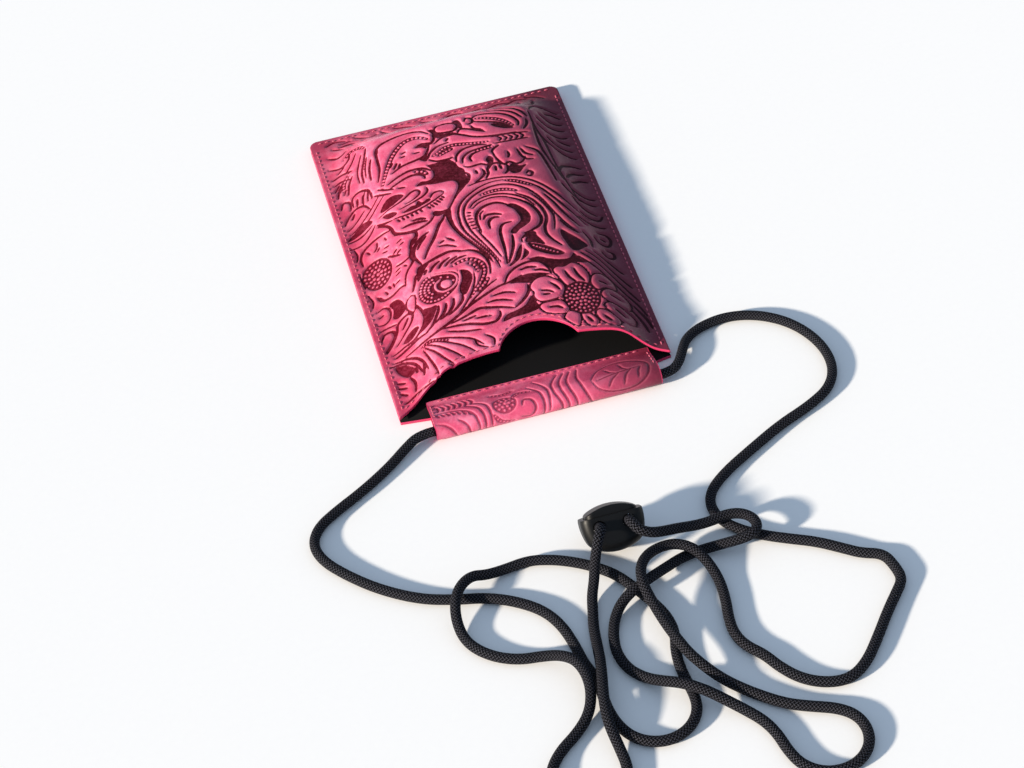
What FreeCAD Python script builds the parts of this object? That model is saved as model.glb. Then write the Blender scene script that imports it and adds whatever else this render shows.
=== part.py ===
"""Leather phone pouch with a neck cord and a sprung cord lock, as separate pieces. Lengths in millimetres.

X runs across the pouch, Y from its mouth to its closed end and Z up from the ground it lies on.
"""
import FreeCAD, Part
import math
import os

V = FreeCAD.Vector
doc = FreeCAD.newDocument("phone_pouch")
sheet = doc.addObject("Spreadsheet::Sheet", "sizes")

# The sizes that can be set, each written once.
SIZES = {
    "pouch_length": 185.0,        # mouth corners to the closed end
    "far_width": 112.0,           # across the closed end
    "mouth_width": 108.0,         # across the mouth corners
    "corner_radius": 4.0,         # closed end corners, seen from above
    "leather": 1.3,               # thickness of both leather panels
    "lining": 0.4,                # thickness of both linings
    "glue_gap": 0.1,              # between the front panel and its lining
    "lining_inset": 0.3,          # lining edge inside the leather edge
    "lining_setback": 1.2,        # lining edge behind the mouth edge
    "seam_margin": 5.0,           # flat border that the seam runs through
    "left_slope": 17.5,           # border to the raised middle over the phone
    "right_slope": 12.5,
    "pocket_end": 23.0,           # slope from the raised middle to the closed end
    "bulge": 9.4,                 # height of the raised middle above the border
    "crown": 0.8,                 # extra height along the middle line
    "mouth_lift": 1.6,            # extra height at the mouth
    "mouth_lift_run": 30.0,       # how far in from the mouth that lift fades out
    "mouth_setback": 13.0,        # mouth edge behind the mouth corners
    "notch_width": 31.0,          # thumb notch
    "notch_depth": 12.0,
    "notch_offset": 5.6,
    "tunnel_left_gap": 11.6,      # mouth corners to the ends of the folded strip that holds the cord
    "tunnel_right_gap": 7.6,
    "tunnel_reach": 15.3,         # fold in front of the mouth corners
    "tunnel_flat": 2.8,           # level top of the tunnel behind the fold
    "shoulder_drop": 1.5,         # strip shoulders in front of the mouth corners
    "flap_reach": 19.3,           # fold to the line where the strip is sewn down
    "flap_allowance": 2.6,        # strip left behind that line
    "cord": 3.8,                  # cord diameter
    "cord_clearance": 0.5,        # cord to the tunnel wall
    "floor_clearance": 0.1,       # cord and lock to the ground
    "sleeve_length": 14.0,        # over the joint of the two cord ends
    "sleeve_wall": 0.25,
    "sleeve_clearance": 0.05,
    "thread": 0.7,                # thread diameter
    "stitch_length": 2.0,
    "stitch_pitch": 3.0,
    "stitch_inset": 2.2,          # stitch row inside a leather edge
    "stitch_lift": 0.35,          # stitches off a curved surface
    "lock_foot": 19.4,            # cord lock body, where its sides meet its belly
    "lock_foot_rise": 3.2,        # belly below that
    "lock_belly_radius": 16.4,
    "lock_top": 21.4,
    "lock_height": 13.7,
    "lock_thick": 13.0,
    "lock_side_radius": 20.0,
    "lock_corner": 5.5,
    "lock_round": 4.0,
    "lock_floor": 4.2,            # under the spring
    "lock_tilt": 50.0,            # degrees from lying flat
    "hole_spacing": 10.8,
    "hole_height": 10.2,
    "hole_clearance": 0.4,        # cord to the hole wall
    "plunger_width": 19.0,
    "plunger_thick": 10.0,
    "plunger_bend": 4.0,          # lower corners of its outline
    "plunger_corner": 3.0,
    "plunger_rim": 0.7,
    "plunger_proud": 0.9,         # side edge of the button above the body
    "plunger_dome": 20.0,         # radius of its top
    "plunger_sink": 7.2,          # how deep it sits in the body
    "plunger_travel": 1.4,
    "plunger_clearance": 0.2,     # plunger to the body
    "slot_margin": 0.15,          # slot past the cord, also when pressed
    "spring_bore": 4.2,
    "spring_bore_depth": 5.0,
    "spring_outer": 3.6,
    "spring_wire": 0.45,
    "spring_pitch": 1.5,
    "spring_clearance": 0.05,     # spring ends to their seats
    "cord_lead": 4.2,             # straight cord in front of a lock hole
    "bight_reach": 5.2,           # cord fold behind the lock
}

# Places and levels that follow from those sizes.
FOLLOWING = {
    "far_edge": "(pouch_length + tunnel_reach) / 2",
    "mouth_line": "far_edge - pouch_length",
    "nose": "mouth_line - tunnel_reach",
    "fold_radius": "leather + cord / 2 + cord_clearance",
    "cord_line": "nose + fold_radius",
    "crest": "cord_line + tunnel_flat",
    "flap_seam": "nose + flap_reach",
    "flap_end": "flap_seam + flap_allowance",
    "flap_slope": "(2 * fold_radius - 2 * leather) / (flap_seam - crest)",
    "flap_shift": "leather * (sqrt(1 + flap_slope ^ 2) - 1) / flap_slope",
    "tunnel_left": "tunnel_left_gap - mouth_width / 2",
    "tunnel_right": "mouth_width / 2 - tunnel_right_gap",
    "tunnel_width": "tunnel_right - tunnel_left",
    "pocket_left": "seam_margin + left_slope - mouth_width / 2",
    "pocket_right": "mouth_width / 2 - seam_margin - right_slope",
    "pocket_middle": "(pocket_left + pocket_right) / 2",
    "pocket_half": "(pocket_right - pocket_left) / 2",
    "taper": "(far_width - mouth_width) / (2 * pouch_length)",
    "lining_start": "flap_end + lining_inset",
    "lining_start_half": "mouth_width / 2 + taper * (lining_start - mouth_line) - lining_inset",
    "front_under": "leather + 2 * lining + glue_gap",
    "front_top": "front_under + leather",
    "hole": "cord + 2 * hole_clearance",
    "slot_low": "hole_height - cord / 2 - slot_margin",
    "slot_high": "hole_height + cord / 2 + plunger_travel + slot_margin",
    "cavity_width": "plunger_width + 2 * plunger_clearance",
    "cavity_thick": "plunger_thick + 2 * plunger_clearance",
    "cavity_bend": "plunger_bend + plunger_clearance",
    "cavity_corner": "plunger_corner + plunger_clearance",
    "plunger_low": "lock_height - plunger_sink",
    "spring_high": "plunger_low + spring_bore_depth",
    "spring_coil": "(spring_outer - spring_wire) / 2",
    "spring_rise": "spring_high - lock_floor - spring_wire - 2 * spring_clearance",
}

row = 0
for alias, value in SIZES.items():
    row += 1
    sheet.set(f"A{row}", alias)
    sheet.set(f"B{row}", str(value))
    sheet.setAlias(f"B{row}", alias)
for alias, formula in FOLLOWING.items():
    row += 1
    sheet.set(f"A{row}", alias)
    sheet.set(f"B{row}", "=" + formula)
    sheet.setAlias(f"B{row}", alias)
doc.recompute()


def size(alias):
    """One value from the sheet."""
    return float(sheet.get(alias))


def sized(text):
    """An expression with every sheet name in it spelled out for an object outside the sheet."""
    words = []
    for word in text.split():
        bare = word.strip("()")
        words.append(word.replace(bare, "sizes." + bare) if bare in SIZES or bare in FOLLOWING else word)
    return " ".join(words)


def bind(item, **properties):
    """Bind properties of a document object to expressions over the sheet."""
    for name, text in properties.items():
        item.setExpression(name, sized(text))


OVERRUN = 4.0                     # how far cutting shapes pass what they cut


# Sketches

def sketch_on(body, label, role, level=None):
    """An empty sketch on one of a body's own origin planes, raised to a level if one is given."""
    sketch = body.newObject("Sketcher::SketchObject", label)
    plane = next(item for item in body.Origin.OriginFeatures if item.Role == role)
    sketch.AttachmentSupport = [(plane, "")]
    sketch.MapMode = "FlatFace"
    if level:
        sketch.setExpression("AttachmentOffset.Base.z", sized(level))
    return sketch


def draw(sketch, corners, arcs=None):
    """Draw a closed outline, anticlockwise, with both coordinates of each corner bound to the sheet.

    arcs gives, for the edge after a corner, its radius and whether it bulges out of the outline (True) or
    into it. A half circle has its centre bound in place of its radius.
    """
    arcs = arcs or {}
    spots = [V(*(float(sketch.evalExpression(sized(text))) for text in corner)) for corner in corners]
    ends = []
    for number, start in enumerate(spots):
        end = spots[(number + 1) % len(spots)]
        if number not in arcs:
            ends.append((sketch.addGeometry(Part.LineSegment(start, end)), 1, 2))
            continue
        radius_text, outward = arcs[number]
        radius = float(sketch.evalExpression(sized(radius_text)))
        half_chord = (end - start).Length / 2
        inward = V(start.y - end.y, end.x - start.x).normalize()
        depth = math.sqrt(max(radius ** 2 - half_chord ** 2, 0.0))
        centre = (start + end) / 2 + inward * (depth if outward else -depth)
        first, last = (start, end) if outward else (end, start)
        low = math.atan2(first.y - centre.y, first.x - centre.x)
        high = math.atan2(last.y - centre.y, last.x - centre.x)
        while high <= low:
            high += 2 * math.pi
        circle = Part.Circle(centre, V(0, 0, 1), radius)
        edge = sketch.addGeometry(Part.ArcOfCircle(circle, low, high))
        ends.append((edge, 1, 2) if outward else (edge, 2, 1))
    import Sketcher
    for number, (edge, start_end, far_end) in enumerate(ends):
        following, following_start, _ = ends[(number + 1) % len(ends)]
        sketch.addConstraint(Sketcher.Constraint("Coincident", edge, far_end, following, following_start))
    for number, (edge, start_end, far_end) in enumerate(ends):
        for axis, text, value in zip("XY", corners[number], spots[number]):
            constraint = Sketcher.Constraint("Distance" + axis, -1, 1, edge, start_end, value)
            index = sketch.addConstraint(constraint)
            sketch.renameConstraint(index, f"corner{number}{axis}")
            sketch.setExpression(f"Constraints.corner{number}{axis}", sized(text))
        if number not in arcs:
            continue
        radius_text, outward = arcs[number]
        radius = sketch.Geometry[edge].Radius
        half_circle = (spots[(number + 1) % len(spots)] - spots[number]).Length > 1.99 * radius
        if half_circle:
            constraint = Sketcher.Constraint("DistanceX", -1, 1, edge, 3, spots[number].x)
            text = corners[number][0]
        else:
            constraint = Sketcher.Constraint("Radius", edge, radius)
            text = radius_text
        index = sketch.addConstraint(constraint)
        sketch.renameConstraint(index, f"arc{number}")
        sketch.setExpression(f"Constraints.arc{number}", sized(text))


def pad(body, label, sketch, length, both_ways=False):
    """Pad a sketch by a length from the sheet."""
    feature = body.newObject("PartDesign::Pad", label)
    feature.Profile = sketch
    feature.SideType = "Symmetric" if both_ways else "One side"
    bind(feature, Length=length)
    sketch.Visibility = False
    doc.recompute()
    return feature


def pocket(body, label, sketch, length, both_ways=False, turned=False):
    """Cut a sketch out of a body, and make sure that it took something away."""
    before = body.Shape.Volume
    feature = body.newObject("PartDesign::Pocket", label)
    feature.Profile = sketch
    feature.SideType = "Symmetric" if both_ways else "One side"
    feature.Reversed = turned
    bind(feature, Length=length)
    doc.recompute()
    assert body.Shape.Volume < before, label
    return feature


def round_off(body, label, feature, edges, radius):
    """Round the given edges of a body's newest feature."""
    rounding = body.newObject("PartDesign::Fillet", label)
    rounding.Base = (feature, [f"Edge{number}" for number in edges])
    bind(rounding, Radius=radius)
    doc.recompute()
    return rounding


def straight_edges(shape, axis):
    """Numbers of the straight edges of a shape that run along an axis."""
    found = []
    for number, edge in enumerate(shape.Edges, 1):
        if edge.Curve.TypeId == "Part::GeomLine" and abs(edge.Curve.Direction.dot(axis)) > 0.999:
            found.append(number)
    return found


def body_of(label):
    """A new body with its label."""
    body = doc.addObject("PartDesign::Body", label)
    body.Label = label
    return body


# Back panel: a flat sheet whose strip at the mouth is folded up and over into a tunnel for the cord.

back_panel = body_of("back_panel")
outline = sketch_on(back_panel, "back_outline", "XY_Plane")
draw(outline, [
    ("tunnel_left", "cord_line"), ("tunnel_right", "cord_line"),
    ("tunnel_right", "mouth_line - shoulder_drop"), ("mouth_width / 2", "mouth_line"),
    ("far_width / 2", "far_edge"), ("0 - far_width / 2", "far_edge"),
    ("0 - mouth_width / 2", "mouth_line"), ("tunnel_left", "mouth_line - shoulder_drop"),
])
sheet_pad = pad(back_panel, "back_sheet", outline, "leather")
far_corners = [number for number in straight_edges(sheet_pad.Shape, V(0, 0, 1))
               if sheet_pad.Shape.Edges[number - 1].CenterOfMass.y > size("far_edge") - size("corner_radius")]
round_off(back_panel, "back_corners", sheet_pad, far_corners, "corner_radius")

fold = sketch_on(back_panel, "fold_profile", "YZ_Plane", "tunnel_left")
draw(fold, [
    ("cord_line", "2 * fold_radius"), ("cord_line", "0"), ("cord_line", "leather"),
    ("cord_line", "2 * fold_radius - leather"), ("crest - flap_shift", "2 * fold_radius - leather"),
    ("flap_seam - flap_shift", "leather"), ("flap_end", "leather"), ("flap_end", "2 * leather"),
    ("flap_seam", "2 * leather"), ("crest", "2 * fold_radius"),
], {0: ("fold_radius", True), 2: ("fold_radius - leather", False)})
pad(back_panel, "cord_tunnel", fold, "tunnel_width")


# Back lining: a flat sheet inside the seam, from the tunnel's sewn edge to the closed end.

back_lining = body_of("back_lining")
outline = sketch_on(back_lining, "back_lining_outline", "XY_Plane", "leather")
draw(outline, [
    ("0 - lining_start_half", "lining_start"), ("lining_start_half", "lining_start"),
    ("far_width / 2 - lining_inset", "far_edge - lining_inset"),
    ("lining_inset - far_width / 2", "far_edge - lining_inset"),
])
lining_pad = pad(back_lining, "back_lining_sheet", outline, "lining")
far_corners = [number for number in straight_edges(lining_pad.Shape, V(0, 0, 1))
               if lining_pad.Shape.Edges[number - 1].CenterOfMass.y > 0]
round_off(back_lining, "back_lining_corners", lining_pad, far_corners, "corner_radius")


# Front panel and its lining: a sheet raised over the pocket, then trimmed to the outline with its thumb notch.

STRAIGHT_SHARE = 0.45             # of the slope up to the raised middle, the rest is rounded
ACROSS_SHARES = [-1, -0.93, -0.86, -0.79, -0.72, -0.64, -0.55, -0.4, -0.2, 0, 0.2, 0.4, 0.58, 0.7, 0.78, 0.85,
                 0.9, 0.95, 1]
MIDDLE_ROWS = 18
END_ROWS = 8
CURVE_ACROSS_SHARE = 0.38         # where the mouth edge bends between a corner and the notch
LEFT_UP_SHARE = 0.67
RIGHT_UP_SHARE = 0.52


def half_width(y):
    """Half the pouch width at a distance along it."""
    return size("mouth_width") / 2 + size("taper") * (y - size("mouth_line"))


def rise(x, y):
    """Height of the front panel above its flat border."""
    to_side = half_width(y) - size("seam_margin") - abs(x)
    to_end = size("far_edge") - size("seam_margin") - y
    if to_side <= 0 or to_end <= 0:
        return 0.0
    inside = (to_side ** -4 + to_end ** -4) ** -0.25
    across = abs(x - size("pocket_middle")) / size("pocket_half")
    beside = max(0.0, across - 1) * size("pocket_half")
    beyond = max(0.0, y - size("far_edge") + size("pocket_end"))
    share = inside / (inside + math.hypot(beside, beyond))
    rounded = share ** 2 * (3 - 2 * share)
    lift = max(0.0, 1 - (y - size("mouth_line")) / size("mouth_lift_run"))
    height = size("bulge") + size("crown") * (1 - min(1.0, across) ** 2) + size("mouth_lift") * min(1.0, lift) ** 2
    return height * (STRAIGHT_SHARE * share + (1 - STRAIGHT_SHARE) * rounded)


def section(y, upper, lower):
    """One cross section of a raised sheet between two depths below the panel's outer face."""
    reach = half_width(y) + OVERRUN
    edge = half_width(y) - size("seam_margin")
    top = size("front_top")
    outer = Part.BSplineCurve()
    spots = [V(share * edge, y, top + rise(share * edge, y)) for share in ACROSS_SHARES]
    outer.interpolate(spots)
    normals = []
    for spot in spots:
        along = outer.tangent(outer.parameter(spot))[0]
        normals.append(V(-along.z, 0, along.x))
    normals[0] = normals[-1] = V(0, 0, 1)
    lines = []
    for depth in (upper, lower):
        curve = Part.BSplineCurve()
        inner = [spot - normal * depth for spot, normal in zip(spots, normals)]
        curve.interpolate(inner)
        lines.append((V(-reach, y, top - depth), inner[0], curve, inner[-1], V(reach, y, top - depth)))
    (a, b, high, c, d), (e, f, low, g, h) = lines
    edges = [
        Part.LineSegment(a, b).toShape(), high.toShape(), Part.LineSegment(c, d).toShape(),
        Part.LineSegment(d, h).toShape(), Part.LineSegment(h, g).toShape(), low.toShape(),
        Part.LineSegment(f, e).toShape(), Part.LineSegment(e, a).toShape(),
    ]
    return Part.Wire(Part.__sortEdges__(edges))


def raised_sheet(upper, lower):
    """A raised sheet as long as the pouch, before it is trimmed."""
    level_end = size("far_edge") - size("pocket_end")
    border = size("far_edge") - size("seam_margin")
    start = size("mouth_line") - OVERRUN
    rows = [start + (level_end - start) * step / MIDDLE_ROWS for step in range(MIDDLE_ROWS + 1)]
    rows += [level_end + (border - level_end) * step / END_ROWS for step in range(1, END_ROWS + 1)]
    rows += [size("far_edge") + OVERRUN]
    return Part.makeLoft([section(y, upper, lower) for y in rows], True, True)


def mouth_points(inset, setback):
    """Corner, bend, shoulder, notch top, shoulder, bend and corner of the mouth edge, from left to right."""
    corner = half_width(size("mouth_line")) - inset
    corner_y = size("mouth_line") + setback
    shoulder_y = corner_y + size("mouth_setback")
    left_bend_y = corner_y + size("mouth_setback") * LEFT_UP_SHARE
    right_bend_y = corner_y + size("mouth_setback") * RIGHT_UP_SHARE
    left = size("notch_offset") - size("notch_width") / 2 - setback
    right = size("notch_offset") + size("notch_width") / 2 + setback
    return [
        V(-corner, corner_y), V(-corner + (left + corner) * CURVE_ACROSS_SHARE, left_bend_y), V(left, shoulder_y),
        V((left + right) / 2, shoulder_y + size("notch_depth")),
        V(right, shoulder_y), V(corner + (right - corner) * CURVE_ACROSS_SHARE, right_bend_y), V(corner, corner_y),
    ]


def mouth_edges(inset, setback):
    """The mouth edge as three arcs."""
    corner_l, bend_l, left, notch, right, bend_r, corner_r = mouth_points(inset, setback)
    return [
        Part.Arc(corner_l, bend_l, left).toShape(), Part.Arc(left, notch, right).toShape(),
        Part.Arc(right, bend_r, corner_r).toShape(),
    ]


def trim_block(inset, setback):
    """The outline seen from above as a tall block."""
    corner_l, corner_r = mouth_points(inset, setback)[0], mouth_points(inset, setback)[-1]
    far_l = V(inset - half_width(size("far_edge")), size("far_edge") - inset)
    far_r = V(half_width(size("far_edge")) - inset, size("far_edge") - inset)
    edges = mouth_edges(inset, setback)
    edges += [Part.LineSegment(corner_r, far_r).toShape(), Part.LineSegment(far_r, far_l).toShape()]
    edges += [Part.LineSegment(far_l, corner_l).toShape()]
    face = Part.Face(Part.Wire(Part.__sortEdges__(edges)))
    tall = size("front_top") + size("bulge") + size("crown") + size("mouth_lift") + OVERRUN
    block = face.extrude(V(0, 0, tall))
    upright = [block.Edges[number - 1] for number in straight_edges(block, V(0, 0, 1))]
    far_corners = [edge for edge in upright if edge.CenterOfMass.y > 0]
    return block.makeFillet(size("corner_radius"), far_corners)


def shape_of(label, shape):
    """A document object that holds a ready shape."""
    item = doc.addObject("Part::Feature", label)
    item.Label = label
    item.Shape = shape
    return item


def only_solid(shape, label):
    """The one solid that a cut should leave."""
    assert len(shape.Solids) == 1, (label, len(shape.Solids))
    return shape.Solids[0]


skin = raised_sheet(0.0, size("leather"))
front_panel = shape_of("front_panel", only_solid(skin.common(trim_block(0.0, 0.0)), "front_panel"))
cover = size("leather") + size("glue_gap")
skin = raised_sheet(cover, cover + size("lining"))
trim = trim_block(size("lining_inset"), size("lining_setback"))
front_lining = shape_of("front_lining", only_solid(skin.common(trim), "front_lining"))


# Threads: rows of stitches that lie on the leather.

def stitch(start, end):
    """One stitch between two points."""
    return Part.makeCylinder(size("thread") / 2, (end - start).Length, start, end - start)


def evenly(length):
    """Where stitches start along a row of this length."""
    count = int((length + size("stitch_pitch") - size("stitch_length")) / size("stitch_pitch"))
    spare = length - (count - 1) * size("stitch_pitch") - size("stitch_length")
    return [spare / 2 + step * size("stitch_pitch") for step in range(count)]


def straight_row(start, end):
    """Stitches along a straight line."""
    along = (end - start).normalize()
    row_length = (end - start).Length
    starts = evenly(row_length)
    return [stitch(start + along * at, start + along * (at + size("stitch_length"))) for at in starts]


inset = size("stitch_inset")
on_border = size("front_top") + size("thread") / 2
near_y = size("mouth_line") + inset
far_y = size("far_edge") - inset
for side, label in ((-1, "left_seam_thread"), (1, "right_seam_thread")):
    near = V(side * (half_width(near_y) - inset), near_y, on_border)
    far = V(side * (half_width(far_y) - inset), far_y - size("stitch_pitch"), on_border)
    shape_of(label, Part.makeCompound(straight_row(near, far)))
far_half = half_width(far_y) - inset
row_start = V(-far_half, far_y, on_border)
shape_of("end_seam_thread", Part.makeCompound(straight_row(row_start, V(far_half, far_y, on_border))))


def on_panel(x, y):
    """The point above the front panel's outer face where a stitch has its middle."""
    step = size("thread")
    slope_x = (rise(x + step, y) - rise(x - step, y)) / (2 * step)
    slope_y = (rise(x, y + step) - rise(x, y - step)) / (2 * step)
    lift = (size("thread") / 2 + size("stitch_lift")) * math.sqrt(1 + slope_x ** 2 + slope_y ** 2)
    return V(x, y, size("front_top") + rise(x, y) + lift)


stitches = []
for arc in mouth_edges(inset, inset):
    for at in evenly(arc.Length):
        start = arc.valueAt(arc.getParameterByLength(at))
        end = arc.valueAt(arc.getParameterByLength(at + size("stitch_length")))
        stitches.append(stitch(on_panel(start.x, start.y), on_panel(end.x, end.y)))
shape_of("mouth_thread", Part.makeCompound(stitches))

row_y = size("flap_seam") + size("flap_allowance") / 2
row_z = 2 * size("leather") + size("thread") / 2
row_left = V(size("tunnel_left") + inset, row_y, row_z)
row_right = V(size("tunnel_right") - inset, row_y, row_z)
shape_of("tunnel_thread", Part.makeCompound(straight_row(row_left, row_right)))

slope_length = math.hypot(size("flap_seam") - size("crest"), 2 * size("fold_radius") - 2 * size("leather"))
off_slope = V(0, 2 * size("fold_radius") - 2 * size("leather"), size("flap_seam") - size("crest"))
off_slope *= size("thread") / 2 / slope_length
stitches = []
for x in (size("tunnel_left") + inset / 2, size("tunnel_right") - inset / 2):
    top_end = V(x, size("crest"), 2 * size("fold_radius")) + off_slope
    low_end = V(x, size("flap_seam"), 2 * size("leather")) + off_slope
    stitches += straight_row(top_end, low_end)
shape_of("tunnel_end_thread", Part.makeCompound(stitches))


# Cord lock: a tilted body with a rounded cavity, a sprung plunger in it, and two holes for the cord.

CORD_REST = size("cord") / 2 + size("floor_clearance")
LOCK_ACROSS = 6.8                 # where the lock lies, from the middle line
LOCK_AHEAD = -82.2                # and from the cord's line through the tunnel
tilt = math.radians(size("lock_tilt"))
foot_round = size("lock_round")
foot_low = foot_round * math.sin(tilt) + (foot_round - size("lock_thick") / 2) * math.cos(tilt) - foot_round
lock_spot = V(LOCK_ACROSS, size("cord_line") + LOCK_AHEAD, size("floor_clearance") - foot_low)
lock_place = FreeCAD.Placement(lock_spot, FreeCAD.Rotation(V(1, 0, 0), size("lock_tilt")))

lock_body = body_of("lock_body")
outline = sketch_on(lock_body, "lock_outline", "XY_Plane")
draw(outline, [
    ("0 - lock_foot / 2", "lock_foot_rise"), ("lock_foot / 2", "lock_foot_rise"),
    ("lock_top / 2", "lock_height + lock_round"), ("0 - lock_top / 2", "lock_height + lock_round"),
], {0: ("lock_belly_radius", True), 1: ("lock_side_radius", True), 3: ("lock_side_radius", True)})
lock_pad = pad(lock_body, "lock_block", outline, "lock_thick", both_ways=True)
corners = straight_edges(lock_pad.Shape, V(0, 0, 1))
lock_corners = round_off(lock_body, "lock_corners", lock_pad, corners, "lock_corner")
face_level = size("lock_thick") / 2
rims = []
for number, edge in enumerate(lock_corners.Shape.Edges, 1):
    if all(abs(abs(vertex.Z) - face_level) < 1e-6 for vertex in edge.Vertexes):
        rims.append(number)
round_off(lock_body, "lock_rounding", lock_corners, rims, "lock_round")

trim_top = sketch_on(lock_body, "lock_trim_outline", "XY_Plane")
draw(trim_top, [
    ("0 - lock_top", "lock_height"), ("lock_top", "lock_height"),
    ("lock_top", "lock_height + 2 * lock_round"), ("0 - lock_top", "lock_height + 2 * lock_round"),
])
pocket(lock_body, "lock_trim", trim_top, "2 * lock_thick", both_ways=True)

cavity = sketch_on(lock_body, "cavity_outline", "XY_Plane")
draw(cavity, [
    ("0 - cavity_width / 2", "lock_floor + cavity_bend"), ("cavity_bend - cavity_width / 2", "lock_floor"),
    ("cavity_width / 2 - cavity_bend", "lock_floor"), ("cavity_width / 2", "lock_floor + cavity_bend"),
    ("cavity_width / 2", "lock_height + lock_round"), ("0 - cavity_width / 2", "lock_height + lock_round"),
], {0: ("cavity_bend", True), 2: ("cavity_bend", True)})
cavity_cut = pocket(lock_body, "cavity", cavity, "cavity_thick", both_ways=True)
cavity_edges = []
for number in straight_edges(cavity_cut.Shape, V(0, 1, 0)):
    spot = cavity_cut.Shape.Edges[number - 1].Vertexes[0]
    if abs(abs(spot.X) - size("cavity_width") / 2) < 1e-6:
        cavity_edges.append(number)
round_off(lock_body, "cavity_corners", cavity_cut, cavity_edges, "cavity_corner")


def lock_hole(side):
    """One round hole for the cord, through both walls."""
    sketch = sketch_on(lock_body, "hole_left_outline" if side < 0 else "hole_right_outline", "XY_Plane")
    import Sketcher
    spot = V(side * size("hole_spacing") / 2, size("hole_height"))
    circle = sketch.addGeometry(Part.Circle(spot, V(0, 0, 1), size("hole") / 2))
    rules = [
        (Sketcher.Constraint("DistanceX", -1, 1, circle, 3, spot.x), f"{side} * hole_spacing / 2"),
        (Sketcher.Constraint("DistanceY", -1, 1, circle, 3, spot.y), "hole_height"),
        (Sketcher.Constraint("Diameter", circle, size("hole")), "hole"),
    ]
    for name, (constraint, text) in zip(("across", "height", "bore"), rules):
        sketch.renameConstraint(sketch.addConstraint(constraint), name)
        sketch.setExpression(f"Constraints.{name}", sized(text))
    pocket(lock_body, "hole_left" if side < 0 else "hole_right", sketch, "2 * lock_thick", both_ways=True)


lock_hole(-1)
lock_hole(1)
lock_body.Placement = lock_place

lock_plunger = body_of("lock_plunger")
outline = sketch_on(lock_plunger, "plunger_outline", "XY_Plane")
draw(outline, [
    ("0 - plunger_width / 2", "plunger_low + plunger_bend"), ("plunger_bend - plunger_width / 2", "plunger_low"),
    ("plunger_width / 2 - plunger_bend", "plunger_low"), ("plunger_width / 2", "plunger_low + plunger_bend"),
    ("plunger_width / 2", "lock_height + plunger_proud"), ("0 - plunger_width / 2", "lock_height + plunger_proud"),
], {0: ("plunger_bend", True), 2: ("plunger_bend", True), 4: ("plunger_dome", True)})
plunger_pad = pad(lock_plunger, "plunger_block", outline, "plunger_thick", both_ways=True)
corners = straight_edges(plunger_pad.Shape, V(0, 1, 0))
plunger_corners = round_off(lock_plunger, "plunger_corners", plunger_pad, corners, "plunger_corner")
rim = []
for number, edge in enumerate(plunger_corners.Shape.Edges, 1):
    if all(vertex.Y > size("lock_height") for vertex in edge.Vertexes):
        rim.append(number)
round_off(lock_plunger, "plunger_rim", plunger_corners, rim, "plunger_rim")
for side in (-1, 1):
    label = "slot_left" if side < 0 else "slot_right"
    slot = sketch_on(lock_plunger, label + "_outline", "XY_Plane")
    middle = f"{side} * hole_spacing / 2"
    draw(slot, [
        (f"{middle} - hole / 2", "slot_low"), (f"{middle} + hole / 2", "slot_low"),
        (f"{middle} + hole / 2", "slot_high"), (f"{middle} - hole / 2", "slot_high"),
    ])
    pocket(lock_plunger, label, slot, "2 * lock_thick", both_ways=True)
bore = sketch_on(lock_plunger, "spring_bore_outline", "XZ_Plane", "0 - plunger_low")
import Sketcher
circle = bore.addGeometry(Part.Circle(V(0, 0), V(0, 0, 1), size("spring_bore") / 2))
bore.addConstraint(Sketcher.Constraint("Coincident", -1, 1, circle, 3))
bore.renameConstraint(bore.addConstraint(Sketcher.Constraint("Diameter", circle, size("spring_bore"))), "bore")
bore.setExpression("Constraints.bore", sized("spring_bore"))
pocket(lock_plunger, "spring_bore", bore, "spring_bore_depth")
lock_plunger.Placement = lock_place

helix = doc.addObject("Part::Helix", "spring_path")
bind(helix, Pitch="spring_pitch", Height="spring_rise", Radius="spring_coil")
wire = doc.addObject("Part::Circle", "spring_section")
bind(wire, Radius="spring_wire / 2")
wire.Placement = FreeCAD.Placement(V(size("spring_coil"), 0, 0), FreeCAD.Rotation(V(1, 0, 0), 90))
wire.setExpression("Placement.Base.x", sized("spring_coil"))
doc.recompute()
lock_spring = doc.addObject("Part::Sweep", "lock_spring")
lock_spring.Label = "lock_spring"
lock_spring.Sections = [wire]
lock_spring.Spine = (helix, ["Edge1"])
lock_spring.Solid = True
lock_spring.Frenet = True
doc.recompute()
spring_low = size("lock_floor") + size("spring_clearance") + size("spring_wire") / 2
upright = FreeCAD.Placement(V(0, spring_low, 0), FreeCAD.Rotation(V(1, 0, 0), -90))
lock_spring.Placement = lock_place.multiply(upright)


# Cord: straight runs joined by arcs, along points picked by hand. Across is measured from the middle line,
# ahead from the cord's line through the tunnel, and height from a cord that lies on the ground.

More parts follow.
